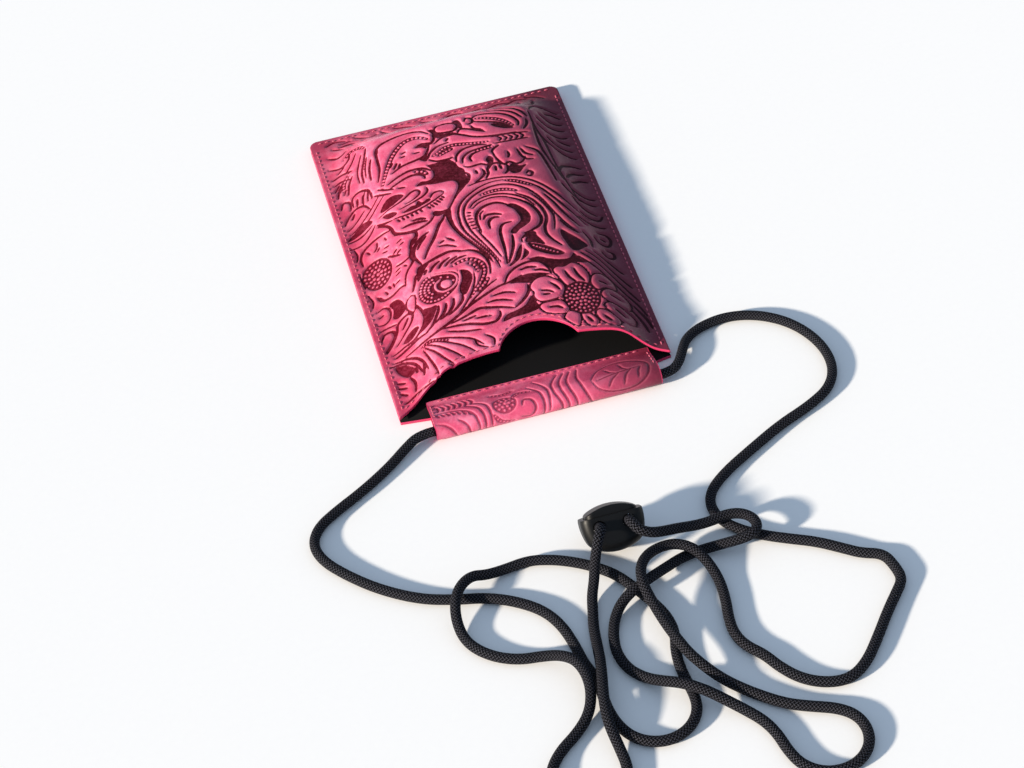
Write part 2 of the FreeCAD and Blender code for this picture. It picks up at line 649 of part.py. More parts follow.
LEFT_FROM_TUNNEL = [(-6.5, 0, 0), (-13, -4.4, -1.1)]
LEFT_STRAND = [
    (-63, -11.2, 0), (-75, -20.2, 0), (-86.5, -27.2, 0), (-94.5, -33.2, 0), (-98, -41.2, 0), (-96, -50.2, 0),
    (-89, -60.2, 0), (-79, -71.2, 0), (-66, -80.7, 0), (-54, -85.2, 0), (-44, -87.7, 0), (-34.5, -92.7, 0),
    (-26, -100.2, 0), (-21.5, -109.2, 0), (-19.5, -119.2, 0), (-18.5, -129.2, 0), (-16, -137.7, 0), (-16.3, -145.7, 0),
    (-16, -152.7, 0), (-14.5, -159.7, 0), (-11, -166, 0), (-5, -170, 0), (2, -170.4, 0), (8.5, -167.2, 0),
    (12.5, -161.2, 0), (13.2, -153.7, 0), (12, -144.2, 0), (12.5, -134.7, 0), (15, -125.7, 0), (14.3, -116.7, 0),
    (10.9, -108.2, 0), (7, -100.2, 0), (3, -93, 0), (-2.5, -87.2, 0), (-9, -82.2, 0), (-16.5, -78.2, 0),
    (-25, -76.2, 0), (-34.5, -76.2, 0.2), (-42.5, -76.8, 2.2), (-48.5, -78, 4.4), (-53, -82, 4.8), (-56, -88.4, 4.8),
    (-57, -95.2, 2.2), (-56, -102.7, 0), (-52.5, -110.2, 0), (-46.5, -116.2, 0), (-39, -120, 0), (-31.5, -121.5, 0.6),
    (-25.5, -124.7, 2.6), (-21.3, -130.2, 4.3), (-19.5, -137.2, 4.2), (-19.8, -144.7, 3.2), (-22.8, -152, 1.2),
    (-28.5, -157.7, 0), (-35.8, -163.2, 0), (-40.7, -169.7, 0), (-42.7, -176.7, 0), (-40.9, -183.3, 0),
    (-36.1, -188.1, 0), (-29.5, -189.9, 0), (-22.9, -188.1, 0), (-18.1, -183.3, 0), (-16.4, -176.5, 0),
    (-17, -168.7, 1), (-18, -160.7, 3.6), (-17.4, -152.7, 4.6), (-15.7, -144.2, 4.6), (-13.6, -134.2, 3.6),
    (-12.3, -123.7, 0.8), (-11.2, -114.2, 0), (-9.4, -106.7, 0.2), (-8, -100.7, 1),
]
LEFT_TO_LOCK = [(-7.0, -15.3, -8.6), (-5.7, -12.4, -4.5), (-4.1, -10.3, -0.2), (-2.1, -7.3, 3.1)]
RIGHT_FROM_LOCK = [(1.4, -7.5, 2.2), (5.4, -8.9, 0.4), (10.4, -7.7, -1.8), (16, -5.7, -4.2)]
RIGHT_STRAND = [
    (35, -84.9, 5.9), (41.5, -83.6, 4.7), (47.5, -82.2, 4.7), (52.5, -83.5, 4.7), (55.8, -87, 4.7),
    (56.2, -91.5, 4.7), (53.4, -94.6, 4.7), (49, -95, 4), (43, -93.2, 2), (36, -91.7, 0.2), (28, -92.4, 0),
    (20, -96.7, 1.2), (13.3, -102.5, 4.7), (6.3, -105.8, 4.7), (0.8, -108.2, 2.2), (-3.2, -113, 0.2),
    (-5.6, -119.7, 0), (-6.8, -127.7, 0), (-5, -136.2, 0), (-0.5, -142.5, 0.4), (4.3, -147.4, 2.6), (9.8, -152, 4.7),
    (16, -157.2, 4.7), (22, -161.7, 2), (27.5, -166.7, 0), (31.8, -172.7, 0), (34.3, -179.7, 0), (35.3, -187.2, 0),
    (37.6, -194.2, 0), (42.7, -199.1, 0), (49.5, -200.8, 0), (56.2, -198.9, 0), (61.2, -194, 0), (63, -187.2, 0),
    (61.4, -180.4, 0), (56.4, -175.6, 0), (48.5, -172.2, 0), (41.5, -168.7, 0), (35.5, -163.7, 0), (29.5, -157.7, 0),
    (24, -152, 1), (19.3, -146.5, 3.4), (15.8, -140, 4.6), (13.8, -132.2, 4.6), (12.2, -124.2, 4.4),
    (10.8, -116.7, 5.4), (8.9, -108.7, 9), (10.2, -100.7, 9), (14.2, -94, 7), (20, -90, 5.2), (26.2, -89.8, 4.8),
    (31.6, -93.8, 4.6), (35, -99.7, 2), (36.6, -107.7, 0), (36, -116.7, 0), (34.2, -126.2, 0), (34, -133.7, 0),
    (36.3, -140, 0), (40.8, -145.5, 0), (44, -152.4, 0), (49, -159.4, 0), (56.3, -164.2, 0), (64.5, -165, 0),
    (72, -160.5, 0), (79.8, -151.7, 0), (87.2, -142.5, 0), (93.5, -133.2, 0), (96.8, -124.7, 0), (94.5, -116.2, 0),
    (86.5, -110.5, 0), (77.5, -103.7, 0), (67.5, -97.7, 0), (58.5, -92.7, 0), (51, -87.2, 0), (46, -80.7, 0),
    (44, -72.7, 0), (46.5, -64.7, 0), (54.5, -57.2, 0), (67, -49.2, 0), (81, -40.7, 0), (95, -34.5, 0), (105.5, -27.2, 0),
    (110.5, -15.7, 0), (109.5, -1.2, 0), (103, 12.3, 0), (92.5, 21.3, 0), (80.5, 24.8, 0), (69.5, 22.3, 0),
]
RIGHT_TO_TUNNEL = [(16.2, 15.8, -1.1), (13.4, 7.2, 0), (7.2, 0, 0)]
BEND_SHARE = 0.45                 # of the shorter run beside a bend, taken up by its arc

tunnel_left_end = V(size("tunnel_left"), size("cord_line"), size("fold_radius"))
tunnel_right_end = V(size("tunnel_right"), size("cord_line"), size("fold_radius"))
hole_half = size("hole_spacing") / 2
front = -size("lock_thick") / 2


def in_lock(across, height, depth):
    """A point given along the lock's own axes."""
    return lock_place.multVec(V(across, height, depth))


def free_points(points):
    """Points of a strand that lies free."""
    return [V(across, size("cord_line") + ahead, CORD_REST + height) for across, ahead, height in points]


hole_middle = size("hole_height")
mouth_depth = size("lock_thick") / 2
left_hole = in_lock(-hole_half, hole_middle, mouth_depth)
right_hole = in_lock(hole_half, hole_middle, mouth_depth)
left_lead = in_lock(-hole_half, hole_middle, mouth_depth + size("cord_lead"))
right_lead = in_lock(hole_half, hole_middle, mouth_depth + size("cord_lead"))
behind = -mouth_depth - size("bight_reach")

left_points = [tunnel_left_end] + [tunnel_left_end + V(*step) for step in LEFT_FROM_TUNNEL]
left_points += free_points(LEFT_STRAND) + [left_hole + V(*step) for step in LEFT_TO_LOCK]
left_points += [left_lead, left_hole]
fold_points = [
    left_hole, in_lock(-hole_half, hole_middle, behind), in_lock(hole_half, hole_middle, behind), right_hole,
]
right_points = [right_hole, right_lead] + [right_hole + V(*step) for step in RIGHT_FROM_LOCK]
right_points += free_points(RIGHT_STRAND) + [tunnel_right_end + V(*step) for step in RIGHT_TO_TUNNEL]
right_points += [tunnel_right_end]


def cord_path(points):
    """Straight runs joined by arcs that touch both runs, and the smallest arc radius."""
    edges = []
    radii = []
    at = points[0]
    for before, bend, after in zip(points, points[1:], points[2:]):
        into = (bend - before).normalize()
        out_of = (after - bend).normalize()
        half_turn = into.getAngle(out_of) / 2
        taken = BEND_SHARE * min((bend - before).Length, (after - bend).Length)
        radius = taken / math.tan(half_turn)
        radii.append(radius)
        middle = bend + (out_of - into).normalize() * (radius / math.cos(half_turn) - radius)
        arc_start = bend - into * taken
        arc_end = bend + out_of * taken
        edges.append(Part.LineSegment(at, arc_start).toShape())
        edges.append(Part.Arc(arc_start, middle, arc_end).toShape())
        at = arc_end
    edges.append(Part.LineSegment(at, points[-1]).toShape())
    return Part.Wire(edges), radii


def cord_tube(label, points):
    """A round cord along its path."""
    path, radii = cord_path(points)
    ring = Part.Circle(points[0], points[1] - points[0], size("cord") / 2).toShape()
    tube = path.makePipeShell([Part.Wire(ring)], True, False)
    tube = tube.Solids[0]
    section_volume = math.pi * (size("cord") / 2) ** 2 * path.Length
    tight = sorted(radii)[:6]
    print(f"{label}: length {path.Length:.1f}, tightest radii {[round(radius, 1) for radius in tight]},"
          f" volume against section times length {tube.Volume / section_volume:.4f},"
          f" lowest {tube.optimalBoundingBox(False, False).ZMin:.2f}")
    return shape_of(label, tube)


cord_tube("cord_left", left_points)
cord_tube("cord_fold", fold_points)
cord_tube("cord_right", right_points)

cord_in_tunnel = doc.addObject("Part::Cylinder", "cord_in_tunnel")
cord_in_tunnel.Label = "cord_in_tunnel"
bind(cord_in_tunnel, Radius="cord / 2", Height="tunnel_width")
cord_in_tunnel.Placement = FreeCAD.Placement(tunnel_left_end, FreeCAD.Rotation(V(0, 1, 0), 90))

sleeve_start = tunnel_left_end + V((size("tunnel_width") - size("sleeve_length")) / 2, 0, 0)
along_x = FreeCAD.Placement(sleeve_start, FreeCAD.Rotation(V(0, 1, 0), 90))
sleeve_outer = doc.addObject("Part::Cylinder", "sleeve_outer")
bind(sleeve_outer, Radius="cord / 2 + sleeve_clearance + sleeve_wall", Height="sleeve_length")
sleeve_inner = doc.addObject("Part::Cylinder", "sleeve_inner")
bind(sleeve_inner, Radius="cord / 2 + sleeve_clearance", Height="sleeve_length")
sleeve_inner.Placement = along_x
sleeve_outer.Placement = along_x
cord_sleeve = doc.addObject("Part::Cut", "cord_sleeve")
cord_sleeve.Label = "cord_sleeve"
cord_sleeve.Base = sleeve_outer
cord_sleeve.Tool = sleeve_inner
doc.recompute()


# Check every piece, then write each to its own file.

PIECES = [
    "back_panel", "front_panel", "back_lining", "front_lining", "left_seam_thread", "right_seam_thread",
    "end_seam_thread", "mouth_thread", "tunnel_thread", "tunnel_end_thread", "cord_left", "cord_fold", "cord_right",
    "cord_in_tunnel", "cord_sleeve", "lock_body", "lock_plunger", "lock_spring",
]
for item in doc.Objects:
    assert "Invalid" not in item.State and "Error" not in item.State, (item.Name, item.State)
os.makedirs("parts", exist_ok=True)
for label in PIECES:
    item = doc.getObjectsByLabel(label)[0]
    shape = item.Shape
    assert not shape.isNull() and shape.isValid() and shape.Solids, label
    box = shape.optimalBoundingBox(False, False)
    print(f"{label}: {len(shape.Solids)} solid, volume {shape.Volume:.1f},"
          f" x {box.XMin:.2f} to {box.XMax:.2f}, y {box.YMin:.2f} to {box.YMax:.2f}, z {box.ZMin:.2f} to {box.ZMax:.2f}")
    shape.exportStep(f"parts/{label}.step")
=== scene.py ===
# %% [markdown]
# # A tooled leather phone pouch on a neck cord
# The pouch is two leather panels sewn along three sides. The front one is raised over the pocket and
# pressed with a flower and scroll pattern. A black braided cord runs through a folded tunnel at the mouth
# and through a sprung lock. The solid model is loaded first, and everything soft is modelled around it,
# in metres.

# %% Load the solid model
import math

import bpy
import numpy as np
from mathutils import Matrix, Vector
from mathutils.bvhtree import BVHTree


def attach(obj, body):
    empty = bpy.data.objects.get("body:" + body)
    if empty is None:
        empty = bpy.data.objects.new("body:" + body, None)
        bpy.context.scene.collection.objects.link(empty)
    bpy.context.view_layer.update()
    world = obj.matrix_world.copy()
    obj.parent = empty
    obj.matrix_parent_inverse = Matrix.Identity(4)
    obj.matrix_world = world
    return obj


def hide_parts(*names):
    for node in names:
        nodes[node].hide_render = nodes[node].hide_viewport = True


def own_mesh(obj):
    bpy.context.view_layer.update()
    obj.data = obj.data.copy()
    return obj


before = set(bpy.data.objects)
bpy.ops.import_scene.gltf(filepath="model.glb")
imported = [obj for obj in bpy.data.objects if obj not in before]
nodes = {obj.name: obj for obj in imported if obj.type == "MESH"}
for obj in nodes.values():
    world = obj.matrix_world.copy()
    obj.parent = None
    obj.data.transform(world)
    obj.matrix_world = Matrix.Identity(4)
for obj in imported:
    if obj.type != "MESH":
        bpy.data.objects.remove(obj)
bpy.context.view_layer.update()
MM = 0.001
print("nodes:", ", ".join(sorted(nodes)))

# %% [markdown]
# ## Camera
# The photograph was taken from above the mouth, a little to the left, with the camera leaning to one
# side. A camera is a position and three directions, so they are worked out from those angles and put in
# its matrix.

# %% Camera at the photograph's angle
CAMERA_AZIMUTH = math.radians(-7.862)
CAMERA_ELEVATION = math.radians(42.449)
CAMERA_LEAN = math.radians(-8.753)
CAMERA_DISTANCE = 0.96735
CAMERA_TARGET = Vector((-0.00805, -0.0774, 0.0))
LENS = 87.89


def put_in_scene(name, data):
    """A new object with this data, linked into the scene."""
    made = bpy.data.objects.new(name, data)
    bpy.context.scene.collection.objects.link(made)
    return made


flat_out = math.cos(CAMERA_ELEVATION)
back = Vector((math.sin(CAMERA_AZIMUTH) * flat_out, -math.cos(CAMERA_AZIMUTH) * flat_out,
               math.sin(CAMERA_ELEVATION)))
right = Vector((0, 0, 1)).cross(back).normalized()
up = back.cross(right)
leant_right = right * math.cos(CAMERA_LEAN) + up * math.sin(CAMERA_LEAN)
leant_up = up * math.cos(CAMERA_LEAN) - right * math.sin(CAMERA_LEAN)
camera = put_in_scene("camera", bpy.data.cameras.new("camera"))
camera.matrix_world = Matrix((leant_right, leant_up, back)).transposed().to_4x4()
camera.location = CAMERA_TARGET + back * CAMERA_DISTANCE
camera.data.lens = LENS
camera.data.clip_start = 0.01
bpy.context.scene.camera = camera
print("camera at", [round(value, 3) for value in camera.location])

# %% [markdown]
# ## Cord
# The cord is one soft braid. It leaves the tunnel on the left, wanders over the ground, goes through the
# lock, folds behind it, comes back through its other hole and wanders home to the tunnel on the right.
# The points below are where it was seen to lie. As control points of a smooth spline they give a line
# with no corners, and the braided tube is then wrapped around points read back from that spline.

# %% Where the cord lies, in metres
LEFT_STRAND = [
    (-0.0424, -0.0965, 0.0037), (-0.0489, -0.0965, 0.0037), (-0.0554, -0.1009, 0.0026),
    (-0.063, -0.1077, 0.002), (-0.075, -0.1167, 0.002), (-0.0865, -0.1237, 0.002),
    (-0.0945, -0.1297, 0.002), (-0.098, -0.1376, 0.002), (-0.096, -0.1467, 0.002),
    (-0.089, -0.1567, 0.002), (-0.079, -0.1676, 0.002), (-0.066, -0.1772, 0.002),
    (-0.054, -0.1817, 0.002), (-0.044, -0.1842, 0.002), (-0.0345, -0.1892, 0.002),
    (-0.026, -0.1967, 0.002), (-0.0215, -0.2056, 0.002), (-0.0195, -0.2157, 0.002),
    (-0.0185, -0.2256, 0.002), (-0.016, -0.2341, 0.002), (-0.0163, -0.2421, 0.002),
    (-0.016, -0.2491, 0.002), (-0.0145, -0.2561, 0.002), (-0.011, -0.2624, 0.002),
    (-0.005, -0.2664, 0.002), (0.002, -0.2669, 0.002), (0.0085, -0.2636, 0.002), (0.0125, -0.2576, 0.002),
    (0.0132, -0.2501, 0.002), (0.012, -0.2406, 0.002), (0.0125, -0.2311, 0.002), (0.015, -0.2222, 0.002),
    (0.0143, -0.2132, 0.002), (0.0109, -0.2046, 0.002), (0.007, -0.1967, 0.002), (0.003, -0.1894, 0.002),
    (-0.0025, -0.1837, 0.002), (-0.009, -0.1787, 0.002), (-0.0165, -0.1746, 0.002),
    (-0.025, -0.172, 0.002), (-0.0345, -0.1736, 0.0022), (-0.0412, -0.1758, 0.0042),
    (-0.0466, -0.1764, 0.0064), (-0.0516, -0.1802, 0.0068), (-0.0548, -0.1864, 0.0068),
    (-0.0562, -0.1926, 0.0042), (-0.0556, -0.1998, 0.002), (-0.0525, -0.2067, 0.002),
    (-0.0465, -0.2127, 0.002), (-0.039, -0.2164, 0.002), (-0.0315, -0.2179, 0.0026),
    (-0.0255, -0.2212, 0.0046), (-0.0213, -0.2266, 0.0063), (-0.0195, -0.2336, 0.0062),
    (-0.0198, -0.2411, 0.0052), (-0.0228, -0.2484, 0.0032), (-0.0285, -0.2541, 0.002),
    (-0.0358, -0.2596, 0.002), (-0.0407, -0.2661, 0.002), (-0.0427, -0.2732, 0.002),
    (-0.0409, -0.2797, 0.002), (-0.0361, -0.2846, 0.002), (-0.0295, -0.2864, 0.002),
    (-0.0229, -0.2846, 0.002), (-0.0181, -0.2797, 0.002), (-0.0164, -0.2729, 0.002),
    (-0.017, -0.2651, 0.003), (-0.018, -0.2571, 0.0056), (-0.0174, -0.2491, 0.0066),
    (-0.0157, -0.2406, 0.0066), (-0.0136, -0.2306, 0.0056), (-0.0123, -0.2202, 0.0028),
    (-0.0112, -0.2107, 0.002), (-0.0094, -0.2031, 0.0022), (-0.008, -0.1971, 0.003),
    (-0.0056, -0.1924, 0.006), (-0.0043, -0.1895, 0.0101), (-0.0027, -0.1874, 0.0144),
    (-0.0007, -0.1844, 0.0177), (0.0014, -0.1803, 0.0173), (0.0014, -0.1771, 0.0146),
]
LOCK_FOLD = [
    (0.0014, -0.1631, 0.0029), (0.0122, -0.1631, 0.0029),
]
RIGHT_STRAND = [
    (0.0122, -0.1771, 0.0146), (0.0122, -0.1803, 0.0173), (0.0136, -0.1846, 0.0168),
    (0.0176, -0.186, 0.015), (0.0226, -0.1848, 0.0128), (0.0282, -0.1828, 0.0104),
    (0.035, -0.1814, 0.0079), (0.0415, -0.1801, 0.0067), (0.0475, -0.1787, 0.0067),
    (0.0525, -0.1799, 0.0067), (0.0558, -0.1835, 0.0067), (0.0562, -0.1879, 0.0067),
    (0.0534, -0.191, 0.0067), (0.049, -0.1914, 0.006), (0.043, -0.1897, 0.004), (0.036, -0.1882, 0.0022),
    (0.028, -0.1889, 0.002), (0.02, -0.1932, 0.0032), (0.0133, -0.1989, 0.0067),
    (0.0063, -0.2023, 0.0067), (0.0008, -0.2046, 0.0042), (-0.0032, -0.2094, 0.0022),
    (-0.0056, -0.2162, 0.002), (-0.0068, -0.2242, 0.002), (-0.005, -0.2326, 0.002),
    (-0.0005, -0.2389, 0.0024), (0.0043, -0.2439, 0.0046), (0.0098, -0.2484, 0.0067),
    (0.016, -0.2536, 0.0067), (0.022, -0.2581, 0.004), (0.0275, -0.2631, 0.002), (0.0318, -0.2692, 0.002),
    (0.0343, -0.2761, 0.002), (0.0353, -0.2836, 0.002), (0.0376, -0.2906, 0.002),
    (0.0427, -0.2956, 0.002), (0.0495, -0.2973, 0.002), (0.0562, -0.2954, 0.002),
    (0.0612, -0.2904, 0.002), (0.063, -0.2836, 0.002), (0.0614, -0.2769, 0.002), (0.0564, -0.2721, 0.002),
    (0.0485, -0.2686, 0.002), (0.0415, -0.2651, 0.002), (0.0355, -0.2601, 0.002),
    (0.0295, -0.2541, 0.002), (0.024, -0.2484, 0.003), (0.0193, -0.2429, 0.0054),
    (0.0158, -0.2364, 0.0066), (0.0138, -0.2286, 0.0066), (0.0122, -0.2207, 0.0064),
    (0.0108, -0.2132, 0.0074), (0.0089, -0.2051, 0.011), (0.0102, -0.1971, 0.011),
    (0.0142, -0.1904, 0.009), (0.02, -0.1864, 0.0072), (0.0262, -0.1862, 0.0068),
    (0.0316, -0.1903, 0.0066), (0.035, -0.1962, 0.004), (0.0366, -0.2041, 0.002), (0.036, -0.2132, 0.002),
    (0.0342, -0.2227, 0.002), (0.034, -0.2301, 0.002), (0.0363, -0.2364, 0.002), (0.0408, -0.2419, 0.002),
    (0.044, -0.2489, 0.002), (0.049, -0.2559, 0.002), (0.0563, -0.2606, 0.002), (0.0645, -0.2617, 0.002),
    (0.0722, -0.2566, 0.002), (0.0798, -0.2468, 0.002), (0.0866, -0.2374, 0.002), (0.0918, -0.231, 0.002),
    (0.0966, -0.225, 0.002), (0.0962, -0.2185, 0.002), (0.0945, -0.2115, 0.002), (0.0872, -0.2085, 0.002),
    (0.083, -0.205, 0.002), (0.0746, -0.1982, 0.002), (0.0655, -0.1933, 0.002), (0.0585, -0.1892, 0.002),
    (0.051, -0.1837, 0.002), (0.046, -0.1772, 0.002), (0.044, -0.1691, 0.002), (0.0465, -0.1612, 0.002),
    (0.0545, -0.1537, 0.002), (0.067, -0.1457, 0.002), (0.081, -0.1371, 0.002), (0.095, -0.1309, 0.002),
    (0.1055, -0.1237, 0.002), (0.1105, -0.1121, 0.002), (0.1095, -0.0977, 0.002), (0.103, -0.0842, 0.002),
    (0.0925, -0.0752, 0.002), (0.0805, -0.0717, 0.002), (0.0692, -0.0738, 0.002),
    (0.0618, -0.0792, 0.0026), (0.0584, -0.0862, 0.0037), (0.0552, -0.0924, 0.0037),
    (0.0512, -0.0963, 0.0037), (0.0464, -0.0965, 0.0037),
]
CORD_POINTS = LEFT_STRAND + LOCK_FOLD + RIGHT_STRAND
print("cord points:", len(CORD_POINTS))

# %% The smooth line of the cord
CORD_STEPS = 9


def smooth_line(name, points, steps):
    """Points read along a spline that has the given control points."""
    data = bpy.data.curves.new(name, "CURVE")
    data.dimensions = "3D"
    spline = data.splines.new("NURBS")
    spline.points.add(len(points) - 1)
    for control, spot in zip(spline.points, points):
        control.co = (*spot, 1.0)
    spline.order_u = 3
    spline.use_endpoint_u = True
    spline.resolution_u = steps
    guide = put_in_scene(name, data)
    line = bpy.data.meshes.new_from_object(guide)
    found = np.array([vertex.co for vertex in line.vertices])
    bpy.data.objects.remove(guide)
    return found


def run_along(points):
    """How far along a line of points each one is."""
    return np.concatenate([[0], np.cumsum(np.linalg.norm(np.diff(points, axis=0), axis=1))])


def line_length(points):
    """How long a line of points is."""
    return float(run_along(points)[-1])


cord_path = smooth_line("cord_route", CORD_POINTS, CORD_STEPS)
print("cord line:", len(cord_path), "points,", round(line_length(cord_path), 4), "m")


# %% Wrap a tube around a line
CORD_RADIUS = 0.0019
CORD_SIDES = 20
TUNNEL_STEPS = 45


def tube_rings(path, radius, sides):
    """Rings of points around a line, each turned as little as can be from the one before."""
    ahead = np.gradient(path, axis=0)
    ahead /= np.linalg.norm(ahead, axis=1)[:, None]
    across = np.empty_like(path)
    start = np.cross(ahead[0], (0.0, 0.0, 1.0))
    across[0] = start / np.linalg.norm(start)
    for step in range(1, len(path)):
        carried = across[step - 1] - ahead[step] * (across[step - 1] @ ahead[step])
        across[step] = carried / np.linalg.norm(carried)
    upward = np.cross(ahead, across)
    turn = np.linspace(0, 2 * np.pi, sides, endpoint=False)[None, :, None]
    return path[:, None] + radius * (across[:, None] * np.cos(turn) + upward[:, None] * np.sin(turn))


def tube(name, path, radius, sides):
    """A round tube around a line of points. Its UV map has metres along it and turns around it."""
    count = len(path)
    index = np.arange(count * sides).reshape(count, sides)
    beside = np.roll(index, -1, axis=1)
    quads = np.stack([index[:-1], beside[:-1], beside[1:], index[1:]], axis=-1).reshape(-1, 4)
    faces = quads.tolist() + [index[0, ::-1].tolist(), index[-1].tolist()]
    mesh = bpy.data.meshes.new(name)
    mesh.from_pydata(tube_rings(path, radius, sides).reshape(-1, 3).tolist(), [], faces)
    run = run_along(path)
    turns = np.arange(sides + 1) / sides
    corners = np.empty((count - 1, sides, 4, 2))
    for corner, (end, side) in enumerate(((0, 0), (0, 1), (1, 1), (1, 0))):
        corners[:, :, corner, 0] = run[end:count - 1 + end, None]
        corners[:, :, corner, 1] = turns[None, side:sides + side]
    flat = np.concatenate([corners.reshape(-1, 2), np.zeros((2 * sides, 2))])
    mesh.uv_layers.new(name="braid").data.foreach_set("uv", flat.ravel())
    mesh.polygons.foreach_set("use_smooth", [True] * len(mesh.polygons))
    mesh.update()
    print(name, len(mesh.polygons), "faces")
    return put_in_scene(name, mesh)


neck_cord = tube("neck_cord", cord_path, CORD_RADIUS, CORD_SIDES)
tunnel_path = np.linspace(CORD_POINTS[0], CORD_POINTS[-1], TUNNEL_STEPS)
tunnel_cord = tube("tunnel_cord", tunnel_path, CORD_RADIUS, CORD_SIDES)

# %% [markdown]
# ## Leather sheets
# Both panels are cut from leather 1.3 mm thick. The front one was pressed over a block while it was wet,
# so it stands up over the pocket and lies flat along its seams. A grid is cut to the outline, dropped
# onto the solid model and relaxed a little, as wet leather settles. That keeps the seams where they are
# and rounds the folds. A cloth simulation could do it too, but it would come out a little different
# whenever a setting changed.

# %% Helpers for shaping by hand
def only(piece):
    """Leave one piece selected and active, so that an operator acts on it alone."""
    bpy.ops.object.select_all(action="DESELECT")
    piece.select_set(True)
    bpy.context.view_layer.objects.active = piece


def spots_of(piece):
    """Where a piece's vertices are."""
    found = np.empty(len(piece.data.vertices) * 3)
    piece.data.vertices.foreach_get("co", found)
    return found.reshape(-1, 3)


def put_spots(piece, spots):
    """Move a piece's vertices."""
    piece.data.vertices.foreach_set("co", np.ascontiguousarray(spots).ravel())
    piece.data.update()


def apply_modifier(piece, kind, **settings):
    """Add a modifier with these settings and apply it."""
    only(piece)
    modifier = piece.modifiers.new(kind.lower(), kind)
    for name, value in settings.items():
        setattr(modifier, name, value)
    bpy.ops.object.modifier_apply(modifier=modifier.name)


def new_grid(name, across, along):
    """A flat square grid that reaches from -1 to 1 both ways."""
    bpy.ops.object.select_all(action="DESELECT")
    bpy.ops.mesh.primitive_grid_add(x_subdivisions=across, y_subdivisions=along, size=2)
    grid = bpy.context.active_object
    grid.name = name
    print(name, len(grid.data.polygons), "faces")
    return grid


# %% The pouch's outline, in millimetres
CLOSED_END = 100.15
MOUTH_LINE = -84.85
HALF_MOUTH, HALF_END = 54.0, 56.0
CORNER = 4.0
LEFT_SWEEP = (-37.24, -76.14)
LEFT_SHOULDER = (-9.9, -71.85)
NOTCH_TOP = (5.6, -59.85)
RIGHT_SHOULDER = (21.1, -71.85)
RIGHT_SWEEP = (41.5, -78.09)
STRIP_LEFT, STRIP_RIGHT = -42.4, 46.4
STRIP_START = -86.35


def half_width(y):
    """Half the pouch's width at a distance along it, with its two rounded corners at the closed end."""
    half = HALF_MOUTH + (HALF_END - HALF_MOUTH) * (y - MOUTH_LINE) / (CLOSED_END - MOUTH_LINE)
    into = np.clip(y - (CLOSED_END - CORNER), 0, CORNER)
    return half - CORNER + np.sqrt(CORNER ** 2 - into ** 2)


def arch(x, start, top, end):
    """Height at x of the circle through three points, on its upper side."""
    (ax, ay), (bx, by), (cx, cy) = start, top, end
    grid = np.array([[bx - ax, by - ay], [cx - ax, cy - ay]]) * 2
    known = np.array([bx ** 2 - ax ** 2 + by ** 2 - ay ** 2, cx ** 2 - ax ** 2 + cy ** 2 - ay ** 2])
    middle_x, middle_y = np.linalg.solve(grid, known)
    reach = (ax - middle_x) ** 2 + (ay - middle_y) ** 2
    return middle_y + np.sqrt(np.maximum(reach - (x - middle_x) ** 2, 0))


def mouth_edge(x):
    """The front panel's mouth edge: a sweep up from each corner, and the thumb notch between them."""
    left = arch(x, (-HALF_MOUTH, MOUTH_LINE), LEFT_SWEEP, LEFT_SHOULDER)
    notch = arch(x, LEFT_SHOULDER, NOTCH_TOP, RIGHT_SHOULDER)
    right = arch(x, RIGHT_SHOULDER, RIGHT_SWEEP, (HALF_MOUTH, MOUTH_LINE))
    return np.where(x < LEFT_SHOULDER[0], left, np.where(x > RIGHT_SHOULDER[0], right, notch))


def back_edge(x):
    """The back panel's mouth edge, a little further out where its strip begins."""
    return np.interp(x, [-HALF_MOUTH, STRIP_LEFT, STRIP_RIGHT, HALF_MOUTH],
                     [MOUTH_LINE, STRIP_START, STRIP_START, MOUTH_LINE])


print("outline:", 2 * HALF_MOUTH, "mm wide at the mouth,", 2 * HALF_END, "mm at the closed end")

# %% Cut a sheet and lay it on the solid model
DROP_HEIGHT = 30
SETTLING_ROUNDS = 8


def cut_sheet(name, across, along, edge, inset, height):
    """A flat grid cut to the pouch's outline, from a mouth edge to the closed end."""
    sheet = new_grid(name, across, along)
    place = spots_of(sheet)
    share, along_share = place[:, 0], (place[:, 1] + 1) / 2
    x = share * HALF_MOUTH
    for settling in range(SETTLING_ROUNDS):
        start = edge(x) + inset
        y = start + (CLOSED_END - inset - start) * along_share
        x = share * (half_width(y) - inset)
    put_spots(sheet, np.stack([x, y, np.full_like(x, height)], axis=1) * MM)
    return sheet


def lay_on(sheet, node, relax):
    """Drop a sheet onto a node of the solid model, then relax its heights."""
    apply_modifier(sheet, "SHRINKWRAP", target=nodes[node], wrap_method="PROJECT", use_project_z=True,
                   use_negative_direction=True, use_positive_direction=False)
    place = spots_of(sheet)
    missed = place[:, 2] > (DROP_HEIGHT - 1) * MM
    landed = place[~missed]
    for spot in np.flatnonzero(missed):
        place[spot, 2] = landed[np.hypot(*(landed[:, :2] - place[spot, :2]).T).argmin(), 2]
    put_spots(sheet, place)
    apply_modifier(sheet, "SMOOTH", factor=0.5, iterations=relax, use_x=False, use_y=False)
    top = spots_of(sheet)[:, 2].max() / MM
    print(sheet.name, "missed", int(missed.sum()), "points, top at", round(top, 2), "mm")


front_leather = cut_sheet("front_leather", 224, 368, mouth_edge, inset=0.12, height=DROP_HEIGHT)
lay_on(front_leather, "front_panel", relax=130)

# %% Round the front up a little more, as a filled pouch does
DOME_HEIGHT = 3.2
DOME_MIDDLE, DOME_HALF = 2.5, 42.0
DOME_START, DOME_RISE = -64.0, 50.0
DOME_END, DOME_FALL = 94.0, 28.0


